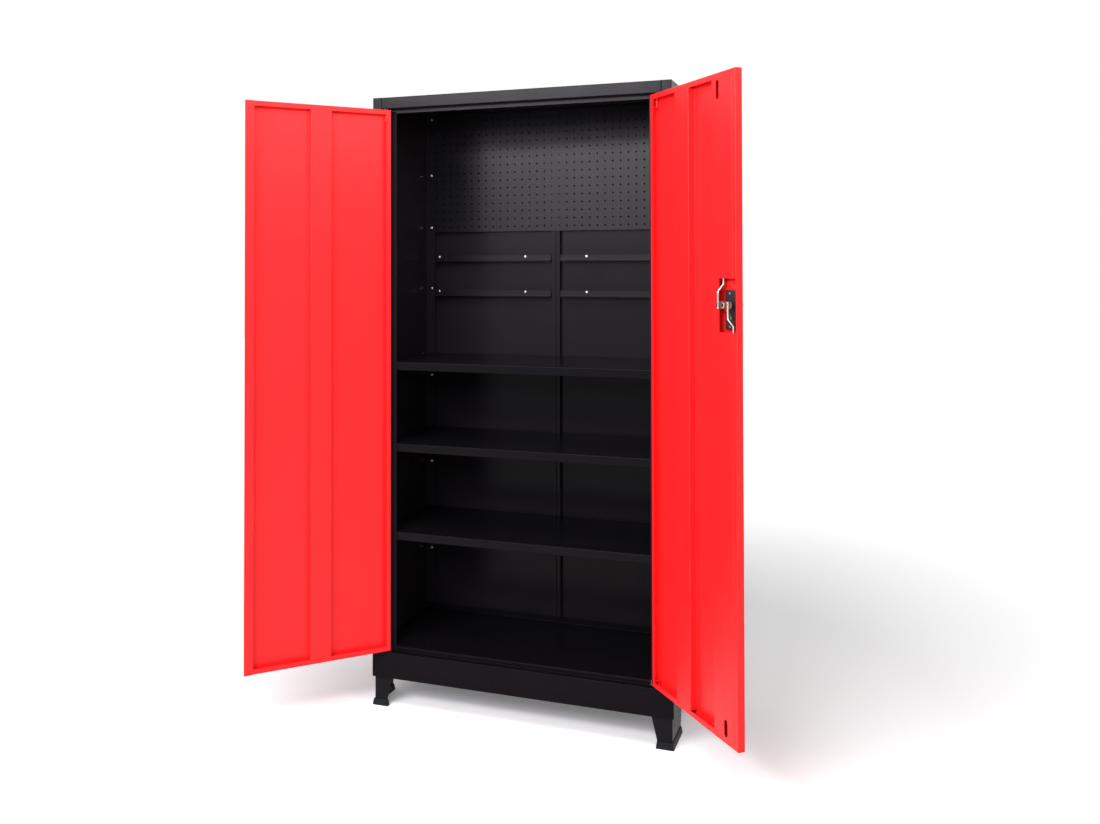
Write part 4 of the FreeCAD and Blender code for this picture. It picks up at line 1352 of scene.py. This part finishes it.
@dataclass
class Stand:
    """Four tapered angle legs with their shoes, packing plates and bolts."""

    sheet: Sheet = Sheet(gauge=0.002, bend=0.0025, steps=5)
    bolt: HexBolt = HexBolt()
    front_top: float = 0.057
    front_foot: float = 0.041
    side_top: float = 0.130
    side_foot: float = 0.118
    shoe_height: float = 0.018
    sole: float = 0.004
    bar: float = 0.014
    draft: float = 0.003
    round_off: float = 0.0012
    bolt_height: float = 0.130
    bolt_first: float = 0.035
    bolt_pitch: float = 0.060
    bolts_per_leg: int = 2

    def build(self) -> None:
        """Build the legs and shoes, then their fixings."""
        bolts = []
        for side in Side:
            for end in End:
                self.leg(side, end)
                self.shoe(side, end)
                outer, face = self.leg_corner(side, end)
                for number in range(self.bolts_per_leg):
                    along = face - self.bolt_first - number * self.bolt_pitch
                    place = (side.value * (outer - self.sheet.gauge), end.value * along,
                             self.bolt_height)
                    bolts.append(facing(place, (-side.value, 0, 0)))
        show("leg_bolt_set", copies(self.bolt.shape(), bolts), ZINC, "leg_bolts")
        dress_node("leg_packers", BLACK_PAINT)

    def leg_corner(self, side: Side, end: End) -> tuple[float, float]:
        """Measure a leg's outside corner.

        Args:
            side: The side that the leg stands on.
            end: The end that it stands at.

        Returns:
            The corner's distances from the cabinet's two middle planes.
        """
        low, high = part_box(f"leg_{end.word}_{side.word}")
        return from_middle(low.x, high.x)[1], from_middle(low.y, high.y)[1]

    def angle(self, outer: float, face: float, front: float, flank: float) -> list[Pair]:
        """Section of a leg.

        Args:
            outer: The outside corner's distance from the middle, across.
            face: The same, to the front or the rear.
            front: Width of the arm across the front.
            flank: Width of the arm along the side.

        Returns:
            Its pairs of points.
        """
        path = [(outer - front, face), (outer, face), (outer, face - flank)]
        return self.sheet.section(path, Metal.RIGHT)

    def leg(self, side: Side, end: End) -> None:
        """Fold an angle with a rounded corner whose arms taper down to the shoe.

        Args:
            side: The side that it stands on.
            end: The end that it stands at.
        """
        node = f"leg_{end.word}_{side.word}"
        low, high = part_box(node)
        corner = self.leg_corner(side, end)
        foot = self.angle(*corner, self.front_foot, self.side_foot)
        top = self.angle(*corner, self.front_top, self.side_top)
        levels = [low.z, self.shoe_height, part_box("side_panel_left")[0].z, high.z]
        shape = lofted([foot, foot, top, top], Axis.Z, levels)
        show(f"{node}_angle", self.cornered(shape, side, end), BLACK_PAINT, node)

    def cornered(self, shape: Shape, side: Side, end: End) -> Shape:
        """Bring a shape that was drawn for the right rear corner to a corner."""
        return mirrored(on_side(shape, side), Axis.Y) if end is End.FRONT else on_side(shape, side)

    def shoe(self, side: Side, end: End) -> None:
        """Mould an angle-shaped shoe with drafted walls, rounded edges and a groove for the leg.

        Args:
            side: The side that it stands on.
            end: The end that it stands at.
        """
        words = f"{end.word}_{side.word}"
        low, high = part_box(f"foot_{words}")
        edge = self.round_off / 2
        levels = [0.0, edge, self.shoe_height - edge, self.shoe_height]
        insets = [edge, 0.0, self.draft - edge / 2, self.draft + edge / 2]
        plans = [self.plan(from_middle(low.x, high.x), from_middle(low.y, high.y), inset)
                 for inset in insets]
        foot = self.angle(*self.leg_corner(side, end), self.front_foot, self.side_foot)
        groove = drawn(foot, Axis.Z, self.sole, self.shoe_height * 2)
        shape = cut(stacked(plans, Axis.Z, levels), groove)
        show(f"shoe_{words}", self.cornered(shape, side, end), SHOE_PLASTIC, f"foot_{words}")

    def plan(self, across: list[float], along: list[float], inset: float) -> list[Point]:
        """Outline of a shoe at one level.

        Args:
            across: Its nearest and furthest distance from the middle, across.
            along: The same, to the front or the rear.
            inset: How far its walls lean in at this level.

        Returns:
            The outline's points.
        """
        bar = self.bar - inset * 2
        left, right = across[0] + inset, across[1] - inset
        bottom, top = along[0] + inset, along[1] - inset
        outline = [(right, top), (left, top), (left, top - bar), (right - bar, top - bar),
                   (right - bar, bottom), (right, bottom)]
        return rounded(outline, self.round_off)


# ---------------------------------------------------------------- doors


def door_place(side: Side) -> Matrix:
    """Find how far a door stands open at rest.

    Args:
        side: The door's side.

    Returns:
        The matrix that turns a door drawn closed to its open rest pose.
    """
    hinge = next(entry for entry in frame["joints"] if entry["name"] == f"door_{side.word}_hinge")
    low, high = hinge["range_deg"]
    angle = math.radians(-high if side is Side.LEFT else -low)
    pivot = Matrix.Translation(hinge["pos_m"])
    return pivot @ Matrix.Rotation(angle, 4, "Z") @ pivot.inverted()


@dataclass
class Door:
    """One door: its folded panel, its stiffener and its hinge hardware.

    Its free edge and its hinge edge are distances from the cabinet's middle, with the door closed.
    """

    side: Side
    stiffener_start: float
    stiffener_width: float
    sheet: Sheet = Sheet()
    bracket_sheet: Sheet = Sheet(gauge=0.0016, bend=0.0012)
    lip: float = 0.014
    foot: float = 0.009
    pin_chamfer_share: float = 0.2
    place: Matrix = field(init=False)
    low: Vector = field(init=False)
    high: Vector = field(init=False)
    free_edge: float = field(init=False)
    hinge_edge: float = field(init=False)

    def __post_init__(self) -> None:
        """Read the closed door's outside from the frame."""
        self.place = door_place(self.side)
        self.low, self.high = self.seen(f"{self.prefix}_panel")
        self.free_edge, self.hinge_edge = from_middle(self.low.x, self.high.x)

    @property
    def prefix(self) -> str:
        """What the names of the door's nodes start with."""
        return f"door_{self.side.word}"

    @property
    def skin(self) -> float:
        """Y of the door skin's inner face, with the door closed."""
        return self.low.y + self.sheet.gauge

    def seen(self, node: str) -> tuple[Vector, Vector]:
        """Corners of a CAD node of the door, with the door closed."""
        return reach(node, self.place)

    def hang(self, name: str, shape: Shape, finish: Finish, *nodes: str,
             body: Body | None = None) -> None:
        """Show a piece that was drawn for the right hand side of a closed cabinet.

        Args:
            name: The piece's name.
            shape: Its shape.
            finish: What it is made of.
            *nodes: The CAD nodes it stands for.
            body: The body it moves with, where that isn't the door.
        """
        shape = moved(on_side(shape, self.side), self.place)
        show(name, shape, finish, *nodes, body=body or Body[f"{self.side.name}_DOOR"])

    def build(self) -> None:
        """Build the door's panel, stiffener and hinge hardware."""
        node = f"{self.prefix}_panel"
        self.hang(f"{node}_sheet", self.panel_shape(), RED_PAINT, node)
        self.stiffener()
        for end in ("top", "bottom"):
            self.bracket(f"{self.prefix}_{end}_hinge_bracket")
            self.pin(f"{self.prefix}_{end}_hinge_pin")

    def panel_shape(self) -> Shape:
        """Fold the door's panel, drawn for the right hand side."""
        edges = (self.free_edge, self.low.z, self.hinge_edge, self.high.z)
        return pan(edges, self.low.y, self.high.y, (self.lip,) * 4, Axis.Y, self.sheet)

    def hat(self, near: float, far: float) -> list[Point]:
        """Lay out a hat section on the door's skin.

        Args:
            near: Its side towards the hinge, as a distance from the cabinet's middle.
            far: Its side towards the free edge.

        Returns:
            The path of its inner face, with a foot at each end.
        """
        gauge = self.sheet.gauge
        top = self.high.y - gauge
        return [(near + self.foot, self.skin), (near - gauge, self.skin), (near - gauge, top),
                (far + gauge, top), (far + gauge, self.skin), (far - self.foot, self.skin)]

    def stiffener(self) -> None:
        """Fold the hat section from the bottom lip to the top lip."""
        node = f"{self.prefix}_stiffener"
        low, high = self.seen(node)
        near = self.hinge_edge - self.stiffener_start
        section = self.sheet.section(self.hat(near, near - self.stiffener_width), Metal.RIGHT)
        self.hang(f"{node}_sheet", drawn(section, Axis.Z, low.z, high.z), RED_PAINT, node)

    def bracket(self, node: str) -> None:
        """Fold the strap round a hinge corner.

        Args:
            node: The strap's node.
        """
        low, high = self.seen(node)
        inner, outer = from_middle(low.x, high.x)
        path = [(inner, low.z), (outer, low.z), (outer, high.z), (inner, high.z)]
        section = self.bracket_sheet.section(path, Metal.LEFT)
        self.hang(f"{node}_strap", drawn(section, Axis.Y, low.y, high.y), RED_PAINT, node)

    def pin(self, node: str) -> None:
        """Turn a hinge pin with chamfered ends.

        Args:
            node: The pin's node.
        """
        low, high = self.seen(node)
        middle = (low + high) / 2
        radius = (high.x - low.x) / 2
        chamfer = radius * self.pin_chamfer_share
        height = high.z - low.z
        shape = turned([(0.0, 0.0), (radius - chamfer, 0.0), (radius, chamfer),
                        (radius, height - chamfer), (radius - chamfer, height), (0.0, height)])
        moved(shape, Matrix.Translation((abs(middle.x), middle.y, low.z)))
        self.hang(f"{node}_rod", shape, RED_PAINT, node)


@dataclass
class LeftDoor(Door):
    """Left door with the strip that the right door closes over."""

    side: Side = Side.LEFT
    stiffener_start: float = 0.181
    stiffener_width: float = 0.062

    def build(self) -> None:
        """Build the door and its meeting strip."""
        super().build()
        node = "door_left_meeting_strip"
        low, high = self.seen(node)
        outline = rounded(rectangle(-high.x, low.z, -low.x, high.z), self.sheet.gauge)
        self.hang(f"{node}_sheet", slab(outline, Axis.Y, low.y, high.y), RED_PAINT, node)


@dataclass(frozen=True)
class Slot:
    """A long hole in the lock channel, by its inset from the free edge and from the door's end."""

    inset: float
    away: float
    length: float


@dataclass
class RightDoor(Door):
    """Right door with the lock, its rods and the channel that covers them."""

    side: Side = Side.RIGHT
    stiffener_start: float = 0.132
    stiffener_width: float = 0.070
    channel_reach: float = 0.105
    channel_joint: float = 0.0003
    window_reach: float = 0.0735
    window_below: float = 0.065
    window_above: float = 0.064
    window_radius: float = 0.003
    lip_cut: float = 0.0012
    seat_margin: float = 0.004
    slot_width: float = 0.014
    upper_slot: Slot = Slot(inset=0.0785, away=0.0405, length=0.047)
    lower_slot: Slot = Slot(inset=0.0525, away=0.036, length=0.040)

    @property
    def spindle(self) -> Vector:
        """Find where the lock's spindle goes through the door.

        Returns:
            Its middle in the closed door's skin.
        """
        low, high = self.seen("cam_nut")
        middle = (low + high) / 2
        return Vector((middle.x, self.low.y, middle.z))

    def build(self) -> None:
        """Build the door, the channel and the lock."""
        super().build()
        self.channel()
        RodLock(self, self.spindle).build()

    def panel_shape(self) -> Shape:
        """Fold the panel and cut its lip and its skin for the lock.

        Returns:
            Its shape.
        """
        bottom = self.spindle.z - self.window_below
        top = self.spindle.z + self.window_above
        window = block((self.free_edge + self.sheet.gauge, self.high.y - self.lip_cut, bottom),
                       (self.free_edge + self.lip * 2, self.high.y + self.lip, top))
        low, high = self.seen("lock_housing")
        margin = self.seat_margin
        seat = block((low.x + margin, low.y - self.lip, low.z + margin),
                     (high.x - margin, self.skin + self.sheet.gauge, high.z - margin))
        return cut(super().panel_shape(), window, seat)

    def channel(self) -> None:
        """Fold the cover over the rods and cut its window and slots."""
        node = "door_right_lock_channel"
        low, high = self.seen(node)
        path = self.hat(self.free_edge + self.channel_reach,
                        self.free_edge + self.lip + self.channel_joint)[:-1]
        shape = drawn(self.sheet.section(path, Metal.RIGHT), Axis.Z, low.z, high.z)
        window = rounded(rectangle(0.0, self.spindle.z - self.window_below,
                                   self.free_edge + self.window_reach,
                                   self.spindle.z + self.window_above), self.window_radius)
        shape = cut(shape, slab(window, Axis.Y, self.skin, self.high.y + self.lip),
                    self.slot(self.upper_slot, self.high.z - self.upper_slot.away),
                    self.slot(self.lower_slot, self.low.z + self.lower_slot.away))
        self.hang(f"{node}_sheet", shape, RED_PAINT, node)

    def slot(self, slot: Slot, height: float) -> Shape:
        """Make the shape that cuts a slot.

        Args:
            slot: The slot.
            height: Z of its middle.

        Returns:
            The shape, through the channel's face.
        """
        half = (slot.length - self.slot_width) / 2
        across = self.free_edge + slot.inset
        outline = long_hole((across, height - half), (across, height + half), self.slot_width / 2)
        return slab(outline, Axis.Y, self.high.y - self.lip / 2, self.high.y + self.lip)


# ---------------------------------------------------------------- lock


@dataclass(frozen=True)
class LeverSection:
    """An oval section across the lever.

    It stands at a share of the lever's length and then a share of its round end further on. Its top
    is a share of the hub's height.
    """

    length_share: float
    end_share: float
    half_width: float
    underside: float
    top_share: float


@dataclass
class RodLock:
    """Lock of the right door: case, lever handle, key plug, cam and the two rods.

    Shares are of the radius that they shape, and the dome's points of the hub's radius and height.
    """

    door: Door
    spindle: Vector
    edge: float = 0.0008
    fine_edge: float = 0.0008 / 3
    play: float = 0.0002
    plate_margin: float = 0.004
    plate_radius: float = 0.010
    case_radius: float = 0.002
    corner_steps: int = 6
    bore: float = 0.00505
    hub_radius: float = 0.013
    hub_height: float = 0.022
    hub_points: int = 40
    hub_dome: tuple[Point, ...] = ((1.0, 0.55), (0.97, 0.72), (0.88, 0.86), (0.72, 0.96),
                                   (0.58, 1.0))
    lever_reach: Point = (0.046, -0.080)
    lever_end: float = 0.008
    lever_squareness: float = 0.6
    lever_sections: tuple[LeverSection, ...] = (
        LeverSection(0.0, 1.0, 0.0096, 0.0150, 0.90),
        LeverSection(0.0, 2.2, 0.0090, 0.0142, 0.96),
        LeverSection(0.5, 0.0, 0.0078, 0.0140, 1.0),
        LeverSection(0.8, 0.0, 0.0080, 0.0143, 0.99),
        LeverSection(1.0, 0.0, 0.0080, 0.0147, 0.96),
        LeverSection(1.0, 0.5, 0.00672, 0.0153, 0.93),
        LeverSection(1.0, 0.85, 0.0040, 0.0160, 0.89),
        LeverSection(1.0, 1.0, 0.0012, 0.0168, 0.85),
    )
    spindle_radius: float = 0.005
    neck_radius: float = 0.004
    stud_share: float = 0.9
    stud_tip_share: float = 0.7
    plug_radius: float = 0.006
    plug_points: int = 32
    plug_rim_shares: Point = (0.72, 0.68)
    plug_bore_depth: float = 0.014
    keyway: Place = (0.0016, 0.007, 0.006)
    cam_end: float = 0.009
    cam_steps: int = 12
    cam_tail: Point = (-0.029, -0.031)
    tail_root_share: float = 0.6
    tail_width: Point = (0.010, 0.0045)
    rod_radius: float = 0.003
    rod_bend: float = 0.009
    jog_start: float = 0.032
    jog_rise: float = 0.017
    clip_radius: float = 0.0048
    clip_height: float = 0.0012
    clip_crown_share: float = 0.7
    screw: Screw = Screw(radius=0.0015, head_radius=0.003, head_height=0.0016, length=0.003,
                         recess_width=0.0007, recess_reach=0.0018, recess_depth=0.0009)
    screw_inset: float = 0.012

    def build(self) -> None:
        """Build the lock from the outside in."""
        self.case()
        self.handle()
        self.plug()
        self.cam()
        self.nut()
        for way in Way:
            self.rod(way)
        dress_node("rod_guides", BUSH_PLASTIC)

    def seat(self, level: float, out: Sequence[float]) -> Matrix:
        """Place on the spindle's line at a Y level, for a piece built facing up."""
        return facing((self.spindle.x, level, self.spindle.z), out)

    def case(self) -> None:
        """Mould the case behind the skin with its rounded plate on the outside, and screw it."""
        low, high = self.door.seen("lock_housing")
        margin = self.plate_margin
        plate = [self.outline(low, high, inset, self.plate_radius)
                 for inset in (self.edge, 0.0, 0.0)]
        case = [self.outline(low, high, margin + inset, self.case_radius)
                for inset in (0.0, 0.0, self.edge)]
        levels = [low.y, low.y + self.edge, self.spindle.y, self.spindle.y, high.y - self.edge,
                  high.y]
        bore = slab(ring((self.spindle.x, self.spindle.z), self.bore), Axis.Y,
                    low.y - margin, high.y + margin)
        self.door.hang("lock_case", cut(stacked(plate + case, Axis.Y, levels), bore),
                       BLACK_PLASTIC, "lock_housing")
        places = [facing((self.spindle.x, high.y, level), TO_REAR)
                  for level in (low.z + self.screw_inset, high.z - self.screw_inset)]
        self.door.hang("lock_case_screws", copies(self.screw.shape(), places), ZINC)

    def outline(self, low: Vector, high: Vector, inset: float, radius: float) -> list[Point]:
        """Draw a rounded outline inside a node's outline.

        Args:
            low: The node's lowest corner.
            high: The node's highest corner.
            inset: Distance in from the node's outline.
            radius: Radius of the corners.

        Returns:
            The outline's points.
        """
        corners = rectangle(low.x + inset, low.z + inset, high.x - inset, high.z - inset)
        return rounded(corners, radius, self.corner_steps)

    @property
    def cam_level(self) -> float:
        """Y of the cam's outer face."""
        return self.door.seen("lock_cam")[0].y

    def handle(self) -> None:
        """Turn the spindle, and set the hub and the lever on it."""
        low, high = self.door.seen("lock_handle")
        base = low.y + self.hub_height
        foot = base - high.y
        shoulder = base - self.cam_level
        stem = turned([(0.0, foot), (self.neck_radius, foot), (self.neck_radius, shoulder),
                       (self.spindle_radius, shoulder), (self.spindle_radius, self.edge),
                       (0.0, self.edge)])
        shape = moved(together(self.hub(), stem, self.lever()), self.seat(base, TO_FRONT))
        self.door.hang("lever_handle", shape, BLACK_PLASTIC, "lock_handle", body=Body.HANDLE)

    def hub(self) -> Shape:
        """Turn the domed hub with the bore of its key plug.

        Returns:
            A closed shell, which stands on Z 0.
        """
        bore = self.plug_radius + self.play
        top = self.hub_height
        bottom = top - self.plug_bore_depth
        dome = [(self.hub_radius * across, top * up) for across, up in self.hub_dome]
        return turned([(self.spindle_radius, self.edge / 2), (self.hub_radius - self.edge, 0.0),
                       (self.hub_radius, self.edge), *dome, (bore, top), (bore, bottom),
                       (0.0, bottom)], self.hub_points)

    def lever(self) -> Shape:
        """Lay the lever from the hub's side to a rounded tip, crowned on its outer face.

        Returns:
            A closed shell, beside the hub.
        """
        way = Vector((*self.lever_reach, 0.0))
        length = way.length
        way.normalize()
        side = Vector((-way.y, way.x, 0.0))
        rows = []
        for part in self.lever_sections:
            top = self.hub_height * part.top_share
            centre = way * (length * part.length_share + self.lever_end * part.end_share)
            centre.z = (part.underside + top) / 2
            rise = Vector((0, 0, (top - part.underside) / 2))
            rows.append(self.oval(centre, side * part.half_width, rise))
        return skinned(rows)

    def oval(self, centre: Vector, side: Vector, up: Vector) -> list[Vector]:
        """Draw a squarish oval ring across the lever.

        Args:
            centre: Its middle.
            side: The way from there to its side.
            up: The way from there to its top.

        Returns:
            The ring's places.
        """
        places = []
        for point in ring((0, 0), 1.0):
            across, over = (math.copysign(abs(part) ** self.lever_squareness, part)
                            for part in point)
            places.append(centre + side * across + up * over)
        return places

    def plug(self) -> None:
        """Turn the key plug, flush with the hub, and cut its keyway."""
        low, high = self.door.seen("lock_plug")
        depth = high.y - low.y
        radius = self.plug_radius
        wide, narrow = (radius * share for share in self.plug_rim_shares)
        barrel = turned([(0.0, -depth), (radius, -depth), (radius, -self.edge / 2),
                         (radius - self.edge / 2, 0.0), (wide, 0.0), (narrow, -self.fine_edge),
                         (0.0, -self.fine_edge)], self.plug_points)
        width, length, deep = self.keyway
        slot = block((-width / 2, -length / 2, -deep), (width / 2, length / 2, deep))
        self.door.hang("key_plug", moved(cut(barrel, slot), self.seat(low.y, TO_FRONT)), ZINC,
                       "lock_plug", body=Body.PLUG)

    def cam(self) -> None:
        """Cut the cam with its two round arms and its short tail."""
        low, high = self.door.seen("lock_cam")
        up = self.spindle.z
        inset = self.fine_edge
        less, full = (long_hole((low.x + self.cam_end, up), (high.x - self.cam_end, up),
                                self.cam_end - away, self.cam_steps) for away in (inset, 0.0))
        plate = stacked([less, full, full, less], Axis.Y,
                        [low.y, low.y + inset, high.y - inset, high.y])
        tip = Vector(self.cam_tail)
        way = tip.normalized()
        side = Vector((-way.y, way.x))
        wide, narrow = (width / 2 for width in self.tail_width)
        start = way * self.cam_end * self.tail_root_share
        centre = Vector((self.spindle.x, up))
        outline = [tuple(centre + place) for place in (
            start - side * wide, tip - side * narrow, tip + way * narrow, tip + side * narrow,
            start + side * wide)]
        tail = slab(outline, Axis.Y, low.y + inset, high.y - inset)
        self.door.hang("cam_plate", together(plate, tail), DARK_ZINC, "lock_cam",
                       body=Body.HANDLE)

    def nut(self) -> None:
        """Cut the hexagon nut with chamfered corners, and the stud's end in it."""
        low, high = self.door.seen("cam_nut")
        size = high - low
        height = size.y
        shoulder = height - self.edge
        corner = max(size.x, size.z) / 2
        start = 0.0 if size.x > size.z else math.pi / HEX_SIDES
        full, crown = (ring((0, 0), corner * share, HEX_SIDES, start)
                       for share in (1, HEX_FLAT_SHARE))
        body = stacked([crown, full, full, crown], Axis.Z, [0.0, self.edge, shoulder, height])
        neck = self.neck_radius
        dish = turned([(0.0, shoulder), (neck, shoulder), (neck + self.edge, height * 2),
                       (0.0, height * 2)])
        tip = height - self.play
        stud = turned([(0.0, 0.0), (neck * self.stud_share, 0.0),
                       (neck * self.stud_share, shoulder), (neck * self.stud_tip_share, tip),
                       (0.0, tip)])
        shape = moved(together(cut(body, dish), stud), self.seat(low.y, TO_REAR))
        self.door.hang("cam_lock_nut", shape, ZINC, "cam_nut", body=Body.HANDLE)

    def rod(self, way: Way) -> None:
        """Bend a bright rod, jogged from the cam into the channel, with its retaining clip.

        Args:
            way: The way that the rod runs from the cam.
        """
        node = f"lock_rod_{way.word}"
        low, high = self.door.seen(node)
        across = (low.x + high.x) / 2
        shallow = high.y - self.rod_radius
        deep = low.y + self.rod_radius
        start, end = (low.z, high.z) if way is Way.UPPER else (high.z, low.z)
        corner = self.spindle.z + self.jog_start * way.value
        route = [(across, shallow, start), (across, shallow, corner),
                 (across, deep, corner + self.jog_rise * way.value), (across, deep, end)]
        clip = turned([(0.0, 0.0), (self.clip_radius, 0.0), (self.clip_radius, self.clip_height / 2),
                       (self.clip_radius * self.clip_crown_share, self.clip_height),
                       (0.0, self.clip_height)])
        moved(clip, facing((across, high.y, self.spindle.z), TO_REAR))
        shape = together(bar(route, self.rod_radius, self.rod_bend), clip)
        self.door.hang(f"{node}_bar", shape, BRIGHT_ROD, node, body=Body[f"{way.name}_ROD"])


# ---------------------------------------------------------------- studio


@dataclass(frozen=True)
class SoftBox:
    """A rectangular lamp that faces the cabinet: its place, size, brightness and colour."""

    name: str
    place: Place
    size: Point
    brightness: float
    color: Tone = (1.0, 1.0, 1.0)
    target: Place = (0.0, 0.0, 1.3)

    def light(self) -> None:
        """Hang the lamp."""
        data = bpy.data.lights.new(self.name, "AREA")
        data.shape = "RECTANGLE"
        data.size, data.size_y = self.size
        data.color = self.color
        data.energy = self.brightness * math.pi * self.size[0] * self.size[1]
        lamp = bpy.data.objects.new(self.name, data)
        lamp.location = self.place
        way = Vector(self.target) - Vector(self.place)
        lamp.rotation_euler = way.to_track_quat("-Z", "Y").to_euler()
        bpy.context.scene.collection.objects.link(lamp)


@dataclass
class Studio:
    """Floor, lamps and camera."""

    camera_place: Place = (1.0125, -2.998, 1.2883)
    yaw: float = 20.02
    pitch: float = 0.88
    roll: float = -0.08
    sensor: float = 36.0
    lens: float = 34.34
    shift: Point = (0.0342, -0.1444)
    floor_reach: float = 14.0
    floor_depth: float = 0.02
    floor_shade: float = 0.8
    floor_seen: float = 1.25
    floor_glow: float = 0.15
    far_glow: float = 0.8
    glow_start: float = 1.25
    glow_end: float = 3.7
    sky: float = 0.36
    boxes: tuple[SoftBox, ...] = (
        SoftBox("soft_box_left", (-0.56, -3.0, 1.87), (1.82, 0.82), 6.0, (0.95, 0.86, 1.0)),
        SoftBox("soft_box_right", (1.1, -3.2, 1.9), (0.45, 0.5), 20.0, (0.9, 0.94, 1.0)),
        SoftBox("strip_light", (-1.0, -3.0, 2.42), (1.9, 0.34), 26.0),
        SoftBox("key_light", (0.3, -3.4, 3.4), (0.8, 0.6), 18.0),
        SoftBox("top_light", (0.1, -1.1, 2.7), (1.2, 0.7), 6.0),
        SoftBox("side_light", (1.8, -1.3, 2.4), (1.0, 0.6), 6.0, target=(0.0, -0.4, 1.6)),
    )

    def build(self) -> None:
        """Set up the floor, the light and the camera."""
        self.floor()
        self.world()
        for box in self.boxes:
            box.light()
        self.camera()

    def floor(self) -> None:
        """Lay the white floor, which keeps the cabinet's soft shadow."""
        size = self.floor_reach
        shape = slab(rectangle(-size, -size, size, size), Axis.Z, -self.floor_depth, 0.0)
        floor = as_object("studio_floor", shape)
        floor.data.materials.append(self.floor_white())

    def floor_white(self) -> bpy.types.Material:
        """Mix the floor's white, which glows far from the cabinet and less so near it.

        Returns:
            The material.
        """
        made = bpy.data.materials.new("studio_floor_white")
        made.use_nodes = True
        made.node_tree.nodes.clear()
        web = Web(made.node_tree)
        seen = web.plain_view()
        shade = web.add("BsdfDiffuse", Color=web.span(seen, self.floor_shade, self.floor_seen))
        away = web.add("VectorMath", operation="LENGTH",
                       Vector=web.add("TexCoord").outputs["Object"]).outputs["Value"]
        glow = web.span(away, self.floor_glow, self.far_glow, self.glow_start, self.glow_end)
        level = web.paired("Math", seen, glow, operation="MULTIPLY")
        light = web.add("Emission", Strength=level)
        web.add("OutputMaterial",
                Surface=web.paired("AddShader", shade.outputs[0], light.outputs[0]))
        return made

    def world(self) -> None:
        """Set plain even light, white where the camera or a reflection sees it."""
        world = bpy.data.worlds.new("studio_light")
        bpy.context.scene.world = world
        world.use_nodes = True
        web = Web(world.node_tree)
        back = world.node_tree.nodes["Background"].inputs
        web.feed(back["Color"], (1.0, 1.0, 1.0, 1.0))
        web.feed(back["Strength"], web.span(web.plain_view(), self.sky, 1.0))

    def camera(self) -> None:
        """Stand the camera a little to the right of the cabinet, at chest height."""
        yaw, pitch, roll = (math.radians(angle) for angle in (self.yaw, self.pitch, self.roll))
        ahead = Vector((-math.sin(yaw) * math.cos(pitch), math.cos(yaw) * math.cos(pitch),
                        math.sin(pitch)))
        right = Vector((math.cos(yaw), math.sin(yaw), 0.0))
        up = right.cross(ahead)
        tilted_right = right * math.cos(roll) + up * math.sin(roll)
        tilted_up = up * math.cos(roll) - right * math.sin(roll)
        data = bpy.data.cameras.new("camera")
        data.sensor_width = self.sensor
        data.lens = self.lens
        data.shift_x, data.shift_y = self.shift
        camera = bpy.data.objects.new("camera", data)
        camera.matrix_world = Matrix.Translation(self.camera_place) @ Matrix(
            (tilted_right, tilted_up, -ahead)).transposed().to_4x4()
        bpy.context.scene.collection.objects.link(camera)
        bpy.context.scene.camera = camera


def main() -> None:
    """Build the cabinet's sub-assemblies in order, then the studio."""
    logging.basicConfig(level=logging.INFO, format="%(message)s")
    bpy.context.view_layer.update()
    bpy.context.scene.view_settings.view_transform = "Standard"
    Carcass().build()
    ToolPanel().build()
    Shelves().build()
    ToolRails().build()
    Stand().build()
    dress_node("hinge_bushes", BUSH_PLASTIC)
    LeftDoor().build()
    RightDoor().build()
    Studio().build()


if __name__ == "__main__":
    main()
